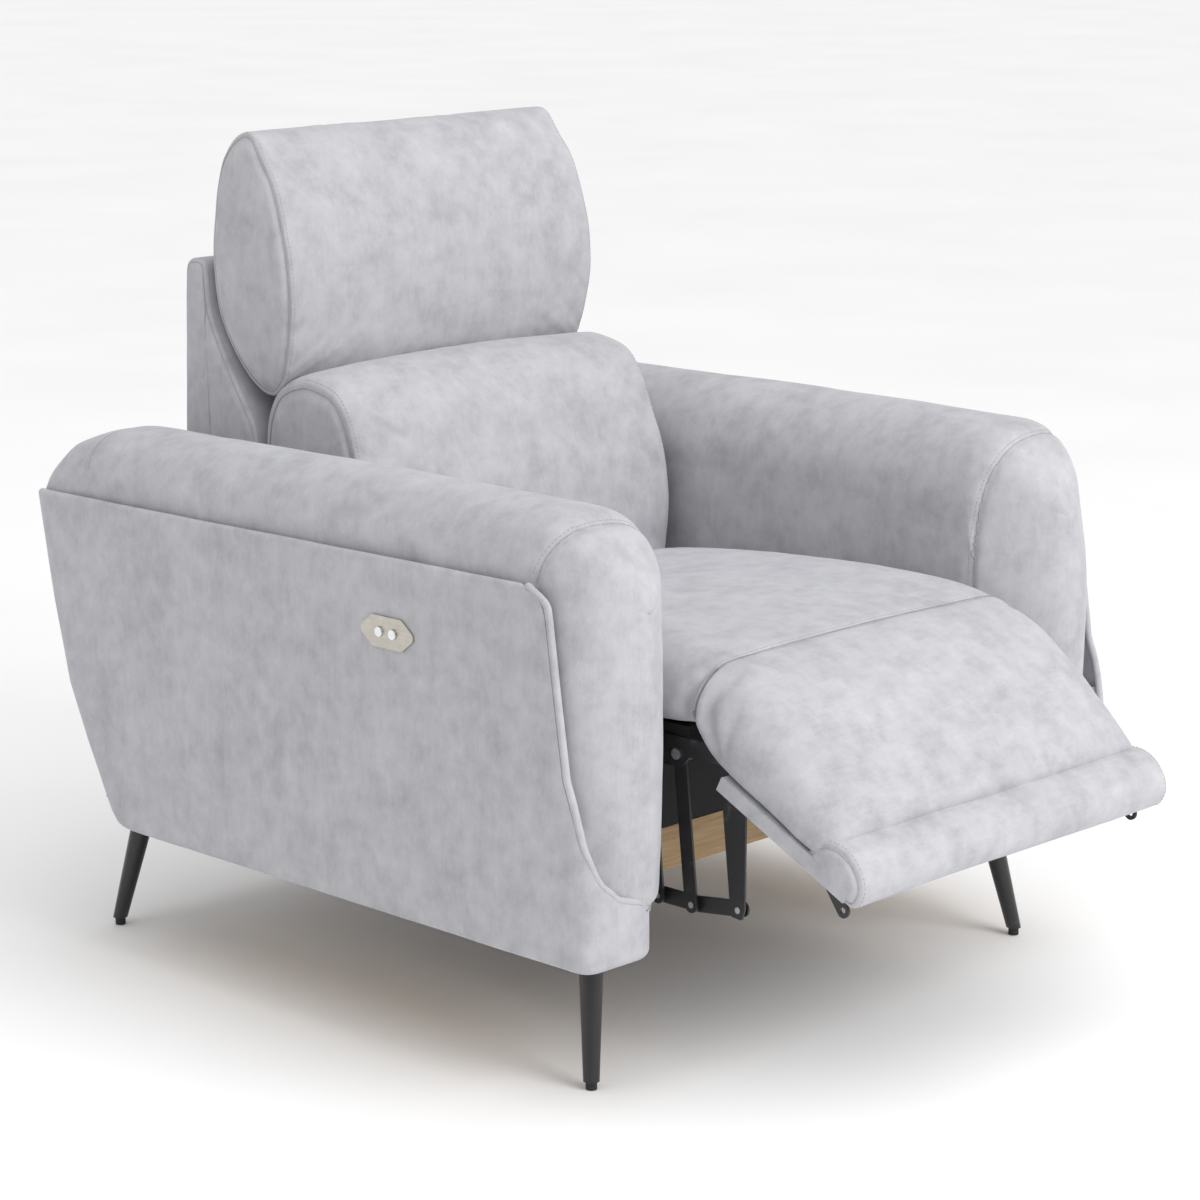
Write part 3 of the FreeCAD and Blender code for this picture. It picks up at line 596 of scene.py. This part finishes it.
def shellPlan(s, z):
    # plan of the left shell at a height: s runs from the rear wrap to the inner foot, 0 at the front corner
    rear = rearLine(z)
    corners = [(-armHalf + 0.195, rear), (-armHalf, rear), (-armHalf, armFront), (-armHalf + 0.103, armFront),
               (-armHalf + 0.182, armFront + 0.075), (-armHalf + 0.182, armFront + 0.30)]
    start = 0.195 + rear - armFront
    return bentPath(corners, [0, 0.032, 0.028, 0.018, 0.02, 0], s + start)


def shellPoint(s, level, inset):
    # a point of the shell moved inwards from its plan line
    ahead = shellPlan(s + 0.001, level) - shellPlan(s - 0.001, level)
    ahead /= np.linalg.norm(ahead) + 1e-12
    return shellPlan(s, level) + np.array([-ahead[1], ahead[0]]) * inset


def shellTop(y):
    share = (y - armFront) / (armRear - armFront)
    rounded = arm["cornerRound"] * mm
    short = max(0.0, rounded - (armRear - y))
    drop = rounded - sqrt(max(0.0, rounded ** 2 - short ** 2))
    return (arm["topFront"] + (arm["topRear"] - arm["topFront"]) * share) * mm - drop


weltHeights, weltEnds = zip(*arm["welt"])
footRound = arm["round"] * mm
ledgeShare = (arm["ledge"] * mm - armFoot - footRound) / (shellTop(armFront) - armFoot - footRound)
rowShares = list(np.linspace(0, ledgeShare, 5)) + list(ledgeShare + (1 - ledgeShare)
                                                      * np.linspace(0, 1, 60)[1:] ** 1.15)
shellRows = [("round", a) for a in np.linspace(0, pi / 2, 7)[:-1]] + [("wall", share) for share in rowShares]
shellRows += [("roll", a) for a in np.linspace(0, pi, 9)[1:]] + [("inside", 0.018)]


def shellVertex(s, kind, value):
    if kind == "round":
        level = armFoot + footRound * (1 - cos(value))
        spot = shellPoint(s, level / mm, footRound * (1 - sin(value)))
        return (spot[0], spot[1], level)
    share = value if kind == "wall" else 1.0
    guess = shellPoint(s, (armFoot + footRound + share * (0.625 - armFoot - footRound)) / mm, 0)
    top = shellTop(guess[1]) - arm["edgeRoll"] * mm
    # the rolled rim closes round at its front end
    roll = arm["edgeRoll"] * mm * sqrt(min(1, max(0, (weltEnds[-1] * mm - s) / 0.014)))
    if kind == "roll":
        level, inset = top + roll * sin(value), roll * (1 - cos(value))
    elif kind == "inside":
        level, inset = top - value, 2 * roll
    else:
        level, inset = armFoot + footRound + value * (top - armFoot - footRound), 0
    spot = shellPoint(s, min(level, top) / mm, inset)
    return (spot[0], spot[1], level)


def weltEnd(kind, value):
    if kind == "round" or kind == "wall" and value <= ledgeShare:
        return weltEnds[0] * mm
    share = value if kind == "wall" else 1.0
    level = armFoot + footRound + share * (shellTop(armFront) - armFoot - footRound)
    return float(np.interp(level / mm, weltHeights, weltEnds)) * mm


def stepIn(verts, faces, line, shares, place):
    # carry an edge inwards in steps, joined by faces
    last = None
    for t in shares:
        start = len(verts)
        verts += [place(x, y, z, t) for x, y, z in line]
        if last is not None:
            faces += [(last + i, last + i + 1, start + i + 1, start + i) for i in range(len(line) - 1)]
        last = start


def underside(x, y, z, t):
    middle = min(max(y, armFront + 0.10), armRear - 0.28)
    return (x + (-armHalf + 0.095 - x) * t, y + (middle - y) * t, z + 0.0015 * t)


def ledge(x, y, z, t):
    return (x + (-armHalf + 0.100 - x) * t, y + (max(y, armFront + 0.10) - y) * t, z - 0.004 * t)


def armShell(side, sign):
    verts, faces = [], []
    rowStops = []
    for kind, value in shellRows:
        rise = {"round": 0, "wall": value}.get(kind, 1)
        level = arm["rear"][0][0] if kind == "round" else (armFoot + footRound + rise * 0.43) / mm
        reach = rearLine(level) - armFront
        end = weltEnd(kind, value)
        stops = [*np.linspace(-reach - 0.193, -reach - 0.034, 9),
                 *np.linspace(-reach - 0.03, -reach + 0.03, 9),
                 *np.linspace(-reach + 0.04, -0.128, 66), *np.linspace(-0.124, end, 48)]
        rowStops.append(stops)
        verts += [shellVertex(s, kind, value) for s in stops]
    cols = len(rowStops[0])
    faces = gridFaces(len(shellRows), cols)
    extra = list(np.linspace(weltEnds[0] * mm, 0.30, 30))
    low = [row for row in shellRows if row[0] == "round" or row[0] == "wall" and row[1] <= ledgeShare + 1e-9]
    start = len(verts)
    verts += [shellVertex(s, *row) for row in low for s in extra]
    faces += gridFaces(len(low), len(extra), start=start)
    ring = [shellVertex(s, *shellRows[0]) for s in rowStops[0] + extra[1:]]
    stepIn(verts, faces, ring, (0, 0.25, 0.55, 0.85), underside)
    lip = [shellVertex(weltEnd(*row), *row) for row in shellRows[:len(low) - 1:-1]
           if row[0] == "wall" and row[1] < ledgeShare * 3.2]
    lip += [shellVertex(s, "wall", ledgeShare) for s in extra]
    stepIn(verts, faces, lip, (0, 0.3, 0.62), ledge)
    piece = newPiece(f"{side}_arm_cover", [(x * -sign, y, z) for x, y, z in verts], faces)
    tidy(piece, smooth=60, merge=0.0004)
    probe = piece.data.polygons[cols * 40 + 60]  # one face of the outer side
    if probe.normal.x * sign < 0:
        piece.data.flip_normals()
    applied(piece, "SOLIDIFY", thickness=arm["wall"] * mm, offset=-1)
    bpy.ops.object.shade_smooth_by_angle(angle=radians(55))
    soften(piece, 11 + sign, size=0.20, amount=0.0009, fine=0.0003)
    rim = weltEnd("roll", 0)
    edge = []
    for inset, drop in ((0.009, 0.006), (0.0065, 0.0015)):
        spot = shellPoint(rim, 620, inset)
        edge.append((spot[0] * -sign, spot[1], shellVertex(rim, "roll", 0)[2] + 0.003 - drop))
    for kind, value in [row for row in shellRows[:9:-1] if row[0] == "wall"][::2]:
        s = weltEnd(kind, value)
        spot = shellPoint(s + 0.003, shellVertex(s, kind, value)[2] / mm, 0.0045)
        edge.append((spot[0] * -sign, spot[1], shellVertex(s, kind, value)[2] + 0.0015))
    for s in extra[1:14]:
        spot = shellPoint(s, arm["ledge"], 0.0045)
        edge.append((spot[0] * -sign, spot[1], arm["ledge"] * mm + 0.0035))
    welt = tube(f"{side}_arm_welt", smoothLine(edge, 300), 0.0046, sides=12)
    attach(piece, "base")
    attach(welt, "base")
    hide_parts(f"{side}_arm_shell")
    return piece, welt


def padTop(y):
    return np.interp((y - datum) / mm, *zip(*pad["top"])) * mm


def armPad(side, sign):
    section = smoothLine([(x * mm, z * mm) for x, z in pad["section"]], pad["around"])
    spineX, spineLow, spineHigh = (value * mm for value in pad["spine"])
    crest, knee = pad["crest"] * mm, pad["knee"] * mm

    def place(x, z, y):
        if z > knee:
            z = knee + (z - knee) * (padTop(y) - knee) / (crest - knee)
        return (x, y, z)

    def rearAt(z):
        return rearLine(z / mm) - pad["rearGap"] * mm

    def frontAt(z):
        return datum + (pad["noseStart"] + pad["noseTop"] * min(1, max(0, (z - 0.53) / 0.15))) * mm

    rows = [("rear", t) for t in (0.99, 0.7, 0.4, 0.2, 0.08, 0.02)]
    rows += [("run", share) for share in np.linspace(0, 1, 90) ** 1.35]
    rows += [("nose", turn) for turn in np.linspace(0, pi / 2, 30)[1:]]
    verts = []
    for kind, value in rows:
        for x, z in section:
            spine = (spineX, min(max(z, spineLow), spineHigh))
            if kind == "rear":
                q = (x + (spine[0] - x) * value, z + (spine[1] - z) * value)
                verts.append(place(q[0], q[1], rearAt(q[1]) + pad["rearBulge"] * mm * min(1, value * 3)))
            elif kind == "run":
                verts.append(place(x, z, rearAt(z) + (frontAt(z) - rearAt(z)) * value))
            else:
                fade = min(1.0, max(0.0, (z - 0.196) / 0.060))
                belly = pad["belly"] * mm * sin(pi * min(1, max(0, (z - 0.23) / 0.40))) ** 1.5 * sin(value)
                long = (frontAt(z) - datum - pad["noseFront"] * mm) * sqrt(1 - (1 - fade) ** 2) + belly
                inner = min(1, max(0, (spineX - x) / 0.09)) * min(1, max(0, (0.69 - z) / 0.12))
                lean = 1.1 + 0.42 * inner
                shrink = 1 - max(0, cos(value)) ** lean
                q = (x + (spine[0] - x) * shrink, z + (spine[1] - z) * shrink)
                if x > spineX and z > 0.25:
                    q = (q[0] + pad["swell"] * mm * sin(2 * value) * min(1, max(0, (0.602 - z) / 0.10)), q[1])
                y = frontAt(z) - long * sin(value) ** lean
                top = place(q[0], q[1], frontAt(z))
                verts.append((q[0], y, top[2]))
    around = len(section)
    faces = gridFaces(len(rows), around, closedCols=True)
    faces.append(tuple(range(around)))
    faces.append(tuple((len(rows) - 1) * around + i for i in range(around)))
    piece = newPiece(f"{side}_arm_pad_cover", [(x * sign, y, z) for x, y, z in verts], faces)
    tidy(piece, smooth=70)

    def seamLine(spots):
        return smoothLine([(x * mm * sign, datum + y * mm, z * mm) for x, z, y in spots], 200)

    seams = [surfaceLine(piece, seamLine(pad[key]))[0] for key in ("frontSeam", "rearSeam")]
    puff(piece, lambda co: (nearest(co, seams) < 0.006)
         | (np.abs(co[:, 0]) > 0.478) & (co[:, 2] < 0.63) | (co[:, 2] < 0.25)
         | (np.abs(co[:, 0]) < 0.308) & (co[:, 1] > datum - 0.40) & (co[:, 2] < 0.60),
         pressure=3.5, cap=0.007)
    soften(piece, 21 + sign, size=0.15, amount=0.0016)
    groove(piece, seams, depth=0.0045, width=0.009)
    applied(piece, "SUBSURF", levels=1, render_levels=1, use_limit_surface=False)
    bpy.ops.object.shade_smooth()
    beside = np.array((0, 0.007, 0))
    rows = stitches(f"{side}_arm_stitching", piece, [seams[0] + beside, seams[1] - beside], seams)
    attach(piece, "base")
    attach(rows, "base")
    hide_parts(f"{side}_arm_pad")
    return piece, rows


armPieces = []
for side, sign in (("left", -1), ("right", 1)):
    armPieces.append(armShell(side, sign) + armPad(side, sign))
print("arms done")


# cloth under and behind the seat; the black sheets under the seat are painted shade

def clothPanel(name, corners, cols, rows, sag, thick=0.0018):
    # a thin stretched cloth between four corners, sagging a little
    a, b, c, d = (np.array(p, float) for p in corners)
    verts = []
    for row in range(rows):
        v = row / (rows - 1)
        for col in range(cols):
            u = col / (cols - 1)
            spot = (a * (1 - u) + b * u) * (1 - v) + (d * (1 - u) + c * u) * v
            dip = sag * 16 * u * (1 - u) * v * (1 - v)
            ripple = 0.0012 * noise.noise(Vector(spot) / 0.06)
            verts.append(spot + np.array((0, 0, -1)) * dip + np.array((0, 0.4, 1)) * ripple)
    piece = newPiece(name, verts, gridFaces(rows, cols))
    applied(piece, "SOLIDIFY", thickness=thick, offset=0)
    bpy.ops.object.shade_smooth_by_angle(angle=radians(50))
    return piece


railLow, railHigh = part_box("rear_rail")
railFacts = {"stand": 0.004, "bevel": 0.009, "cuts": 24}


def railCover():
    # cloth wrapped round the rear rail, rounded at its edges
    low = railLow - Vector((1, 1, 0)) * railFacts["stand"]
    high = railHigh + Vector((1, 1, 1)) * railFacts["stand"]
    bpy.ops.object.select_all(action="DESELECT")
    bpy.ops.mesh.primitive_cube_add(size=1, location=(low + high) / 2)
    piece = bpy.context.object
    piece.name = "rear_rail_cover"
    piece.scale = high - low
    bpy.ops.object.transform_apply(location=True, scale=True)
    applied(piece, "BEVEL", width=railFacts["bevel"], segments=4)
    bpy.ops.object.mode_set(mode="EDIT")
    bpy.ops.mesh.select_all(action="SELECT")
    bpy.ops.mesh.subdivide(number_cuts=railFacts["cuts"])
    bpy.ops.object.mode_set(mode="OBJECT")
    bpy.ops.object.shade_smooth()
    return soften(piece, 31, size=0.10, amount=0.0012)


railPiece = railCover()
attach(railPiece, "base")
hems = []
for side, sign in (("left", -1), ("right", 1)):
    line = [(sign * (railHigh.x + railFacts["stand"] - 0.0005), y, railLow.z + 0.004)
            for y in np.linspace(railLow.y + 0.01, railHigh.y - 0.002, 12)]
    hem = tube(f"{side}_rail_piping", line, 0.0028)
    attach(hem, "base")
    hems.append(hem)
postsLow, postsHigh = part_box("back_posts")
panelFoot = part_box("back_panel")[0].z
clothLeft, clothRight, clothBack = postsLow.x + 0.004, postsHigh.x - 0.004, postsHigh.y + 0.0016
clothLow, clothHigh = postsLow.z + 0.002, panelFoot + 0.004
clothCorners = [(clothLeft, clothBack, clothLow), (clothRight, clothBack, clothLow),
                (clothRight, clothBack, clothHigh), (clothLeft, clothBack, clothHigh)]
backCloth = clothPanel("back_dust_cloth_painted_shade", clothCorners, 50, 12, 0, thick=0.001)
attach(backCloth, "back")
# painted shade: two black cloth sheets under the seat stand for the deep shade below it
shadeCurtainFacts = {"inner": 0.030, "outer": 0.262,
                "head": (datum - 0.430, 0.406), "foot": (datum - 0.345, 0.262)}
shadeCurtains = []
for side, sign in (("left", -1), ("right", 1)):
    (headY, headZ), (footY, footZ) = shadeCurtainFacts["head"], shadeCurtainFacts["foot"]
    near, far = sorted((sign * shadeCurtainFacts["inner"], sign * shadeCurtainFacts["outer"]))
    cloth = clothPanel(f"{side}_dust_cloth_painted_shade", [(near, headY, headZ), (far, headY, headZ), (far, footY, footZ),
                                              (near, footY, footZ)], 40, 26, 0.004)
    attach(cloth, "seat")
    shadeCurtains.append(cloth)
print("cloth panels done")


# finishes

class Wire:
    # one output that arithmetic works on
    def __init__(self, shop, socket):
        self.shop = shop
        self.socket = socket

    def calc(self, operation, other, swapped=False):
        ends = [other, self] if swapped else [self, other]
        return self.shop.node("ShaderNodeMath", {"operation": operation}, {0: ends[0], 1: ends[1]})

    def __add__(self, other):
        return self.calc("ADD", other)

    def __radd__(self, other):
        return self.calc("ADD", other, True)

    def __sub__(self, other):
        return self.calc("SUBTRACT", other)

    def __rsub__(self, other):
        return self.calc("SUBTRACT", other, True)

    def __mul__(self, other):
        return self.calc("MULTIPLY", other)

    def __rmul__(self, other):
        return self.calc("MULTIPLY", other, True)

    def clip(self, low, high):
        return self.calc("MAXIMUM", low).calc("MINIMUM", high)


class Finish:
    # one material being built
    def __init__(self, name, **settings):
        self.material = bpy.data.materials.new(name)
        self.material.use_nodes = True
        self.tree = self.material.node_tree
        self.shader = self.tree.nodes["Principled BSDF"]
        for key, value in settings.items():
            self.shader.inputs[key.replace("_", " ")].default_value = value
        self.place = self.node("ShaderNodeTexCoord", {}, {}, "Object")

    def node(self, kind, settings, sockets, output=0):
        made = self.tree.nodes.new(kind)
        for key, value in settings.items():
            if key == "stops":
                ramp = made.color_ramp
                while len(ramp.elements) < len(value):
                    ramp.elements.new(0.5)
                for element, (spot, colour) in zip(ramp.elements, value):
                    element.position = spot
                    element.color = colour
            else:
                setattr(made, key, value)
        for key, value in sockets.items():
            if isinstance(value, Wire):
                self.tree.links.new(value.socket, made.inputs[key])
            else:
                made.inputs[key].default_value = value
        return Wire(self, made.outputs[output])

    def noise(self, scale, detail=3, rough=0.55, stretch=(1, 1, 1)):
        place = self.node("ShaderNodeMapping", {}, {"Vector": self.place, "Scale": stretch})
        return self.node("ShaderNodeTexNoise", {}, {"Vector": place, "Scale": scale, "Detail": detail,
                                                    "Roughness": rough}, "Fac")

    def ramp(self, value, stops):
        return self.node("ShaderNodeValToRGB", {"stops": [(spot, (*colour, 1)) for spot, colour in stops]},
                         {"Fac": value}, "Color")

    def mix(self, factor, first, second):
        colours = {0: factor, 6: (*first, 1), 7: (*second, 1)}
        return self.node("ShaderNodeMix", {"data_type": "RGBA"}, colours, 2)

    def into(self, name, wire):
        self.tree.links.new(wire.socket, self.shader.inputs[name])

    def bump(self, height, distance, strength=0.5):
        self.into("Normal", self.node("ShaderNodeBump", {}, {"Height": height, "Distance": distance,
                                                             "Strength": strength}, "Normal"))


def grey(level, cool=1.0):
    return (level, level, level * cool)


suede = {"dark": 0.30, "middle": 0.42, "light": 0.52, "roughness": 0.82, "sheen": 0.28}


def suedeFinish(name, streak):
    made = Finish(name, Sheen_Weight=suede["sheen"], Sheen_Roughness=0.45, Specular_IOR_Level=0.22,
                  Sheen_Tint=(0.92, 0.93, 1.0, 1))
    clouds = made.noise(13, 5, 0.62)
    patches = made.noise(38, 4, 0.6)
    drift = made.noise(150, 3, 0.6, stretch=streak)
    fibre = made.noise(620, 2, 0.5, stretch=streak)
    nap = made.noise(1500, 1, 0.5)
    tone = (clouds * 0.38 + patches * 0.40 + drift * 0.12 + fibre * 0.10 - 0.5) * 1.8 + 0.5
    made.into("Base Color", made.ramp(tone.clip(0, 1), [(0.12, grey(suede["dark"], 1.055)),
                                                        (0.50, grey(suede["middle"], 1.055)),
                                                        (0.88, grey(suede["light"], 1.03))]))
    made.into("Roughness", suede["roughness"] + patches * 0.12)
    made.bump(nap * 0.35 + fibre * 0.5 + drift * 0.5 + patches * 0.4, 0.0007, 0.45)
    return made.material


upright = suedeFinish("suede_upright", (1.0, 1.0, 0.16))
sideways = suedeFinish("suede_sideways", (0.16, 1.0, 1.0))


def threadFinish():
    made = Finish("thread", Specular_IOR_Level=0.3)
    made.into("Base Color", made.ramp(made.noise(900, 2), [(0.3, grey(0.30, 1.04)), (0.7, grey(0.42, 1.03))]))
    made.into("Roughness", 0.62 + made.noise(500) * 0.2)
    made.bump(made.noise(2500, 1), 0.0002, 0.6)
    return made.material


def plywoodFinish():
    made = Finish("plywood_finish", Specular_IOR_Level=0.3)
    grain = made.noise(26, 5, 0.6, stretch=(0.09, 1, 1))
    fine = made.noise(240, 3, 0.6, stretch=(0.06, 1, 1))
    made.into("Base Color", made.ramp(grain * 0.6 + fine * 0.4, [(0.32, (0.36, 0.22, 0.11)),
                                                               (0.5, (0.52, 0.36, 0.20)),
                                                               (0.68, (0.62, 0.46, 0.29))]))
    made.into("Roughness", 0.55 + fine * 0.25)
    made.bump(fine, 0.0004, 0.5)
    return made.material


def paintedSteel(name, base, rough, worn):
    made = Finish(name, Metallic=0.0, Specular_IOR_Level=0.45, Coat_Roughness=0.3)
    peel = made.noise(420, 2)
    scuff = made.noise(34, 5, 0.7)
    mask = ((scuff - 0.60) * 9).clip(0, 1)
    made.into("Base Color", made.mix(mask * worn, base, (0.09, 0.09, 0.095)))
    made.into("Roughness", rough + peel * 0.10 + mask * 0.12)
    made.into("Coat Weight", 0.25 - mask * 0.15)
    made.bump(peel, 0.0003, 0.35)
    return made.material


def bareMetal(name, low, high, rough, brushed, scale=380):
    made = Finish(name, Metallic=1.0, Specular_IOR_Level=0.5)
    brush = made.noise(scale, 3, 0.6, stretch=brushed)
    blot = made.noise(60, 3)
    made.into("Base Color", made.ramp(brush * 0.5 + blot * 0.5, [(0.35, low), (0.65, high)]))
    made.into("Roughness", rough + brush * 0.16 + blot * 0.06)
    made.bump(brush, 0.0001, 0.3)
    return made.material


def mouldedFinish(name, base, rough):
    made = Finish(name, Specular_IOR_Level=0.4)
    grain = made.noise(1100, 2)
    haze = made.noise(22, 3)
    made.into("Base Color", made.ramp(haze, [(0.35, tuple(v * 0.85 for v in base)), (0.7, base)]))
    made.into("Roughness", rough + haze * 0.08 + grain * 0.10)
    made.bump(grain, 0.0003, 0.4)
    return made.material


def webbingFinish():
    made = Finish("webbing_finish", Specular_IOR_Level=0.2)
    rib, cross = (made.node("ShaderNodeTexWave", {"wave_type": "BANDS", "bands_direction": way},
                            {"Vector": made.place, "Scale": 170.0, "Distortion": 0.6}, "Fac") for way in "XY")
    made.into("Base Color", made.ramp(rib * cross, [(0.0, (0.012, 0.012, 0.014)),
                                                    (1.0, (0.06, 0.06, 0.066))]))
    made.into("Roughness", 0.75 + rib * 0.15)
    made.bump(rib * cross, 0.0006, 0.6)
    return made.material


finishes = {
    "upholstery": upright,
    "board_cover": sideways,
    "plywood": plywoodFinish(),
    "leg_metal": paintedSteel("satin_black", (0.012, 0.012, 0.013), 0.30, 0.4),
    "glide_plastic": mouldedFinish("glide_black", (0.02, 0.02, 0.021), 0.5),
    "linkage_steel": paintedSteel("linkage_black", (0.010, 0.010, 0.011), 0.36, 0.8),
    "zinc": bareMetal("zinc_plate", (0.42, 0.43, 0.44), (0.62, 0.63, 0.65), 0.26, (1, 1, 1)),
    "webbing": webbingFinish(),
    "black_plastic": mouldedFinish("case_black", (0.02, 0.02, 0.022), 0.45),
    "rod_steel": bareMetal("rod_polish", (0.48, 0.48, 0.49), (0.66, 0.66, 0.67), 0.18, (1, 0.05, 1)),
    "switch_metal": bareMetal("satin_champagne", (0.47, 0.44, 0.39), (0.58, 0.55, 0.49), 0.24, (1, 0.06, 1)),
    "button_chrome": bareMetal("bright_chrome", (0.72, 0.73, 0.75), (0.85, 0.86, 0.88), 0.08, (1, 1, 1), 200),
}
thread = threadFinish()
# black for the cloths under and behind the seat; under the seat and on the seat rails this black is painted
# shade
dustClothAndShadeBlack = mouldedFinish("dust_cloth_and_painted_shade_black", (0.012, 0.012, 0.013), 0.8)
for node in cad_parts.values():
    for holder in node.material_slots:
        if holder.material:
            holder.material = finishes[holder.material.name.split(".")[0]]
for name in ("seat_side_rails", "seat_cross_rails"):  # dressed black like the dust cloth: painted shade on the seat rails, which sit in the seat's shade
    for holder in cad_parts[name].material_slots:
        holder.material = dustClothAndShadeBlack


def dress(piece, material):
    piece.data.materials.clear()
    piece.data.materials.append(material)


for piece in (headPad, lumbarPad, backPad, railPiece, *hems):
    dress(piece, upright)
for piece in (seatPad, legCover, rollPad):
    dress(piece, sideways)
for piece in (headRows, lumbarRows, backRows, rollRows, seamRows):
    dress(piece, thread)
for cloth in shadeCurtains + [backCloth]:
    dress(cloth, dustClothAndShadeBlack)
for shell, welt, padPiece, rows in armPieces:
    for piece in (shell, welt, padPiece):
        dress(piece, upright)
    dress(rows, thread)
print("finishes done")


# stage

def floorFinish():
    made = Finish("floor", Specular_IOR_Level=0.15)
    haze = made.noise(1.3, 2)
    made.into("Base Color", made.ramp(haze, [(0.3, (0.90, 0.90, 0.90)), (0.7, (0.93, 0.93, 0.93))]))
    made.into("Roughness", 0.75 + haze * 0.1)
    return made.material


floorFacts = {"size": 60.0, "drop": 0.0006}
bpy.ops.object.select_all(action="DESELECT")
bpy.ops.mesh.primitive_plane_add(size=floorFacts["size"], location=(0, 0, -floorFacts["drop"]))
floor = bpy.context.object
floor.name = "floor"
bpy.ops.object.transform_apply(location=True)
floor.data.materials.append(floorFinish())

world = bpy.context.scene.world or bpy.data.worlds.new("studio")
bpy.context.scene.world = world
world.use_nodes = True
background = world.node_tree.nodes["Background"].inputs
background["Color"].default_value = (1.0, 1.0, 1.0, 1)
background["Strength"].default_value = 0.62


def lamp(name, spot, aim, power, size=None, angle=0):
    # a soft box, or broad daylight when no size is given
    data = bpy.data.lights.new(name, "AREA" if size else "SUN")
    if size:
        data.shape = "RECTANGLE"
        data.size, data.size_y = size
    else:
        data.angle = radians(angle)
    data.energy = power
    light = bpy.data.objects.new(name, data)
    bpy.context.scene.collection.objects.link(light)
    light.location = spot
    light.rotation_euler = (Vector(aim) - Vector(spot)).to_track_quat("-Z", "Y").to_euler()


lamp("key", (0.3, -4.0, 2.7), (0.0, -0.1, 0.5), 98, (2.6, 2.0))
lamp("sky", (0.0, -1.6, 4.0), (0.0, 0.0, 0.4), 1.35, angle=80)
lamp("fill", (-4.2, 1.0, 2.0), (0, 0, 0.5), 14, (2.5, 2.5))

cameraFacts = {"place": (-3.2275, -3.0793, 1.503), "pitch": 77.1, "azimuth": -45.7, "lens": 105.1}
cameraData = bpy.data.cameras.new("camera")
cameraData.lens = cameraFacts["lens"]
cameraData.sensor_width = 36
camera = bpy.data.objects.new("camera", cameraData)
bpy.context.scene.collection.objects.link(camera)
camera.location = cameraFacts["place"]
camera.rotation_euler = (radians(cameraFacts["pitch"]), 0, radians(cameraFacts["azimuth"]))
bpy.context.scene.camera = camera
bpy.context.scene.view_settings.view_transform = "Standard"
print("stage done")
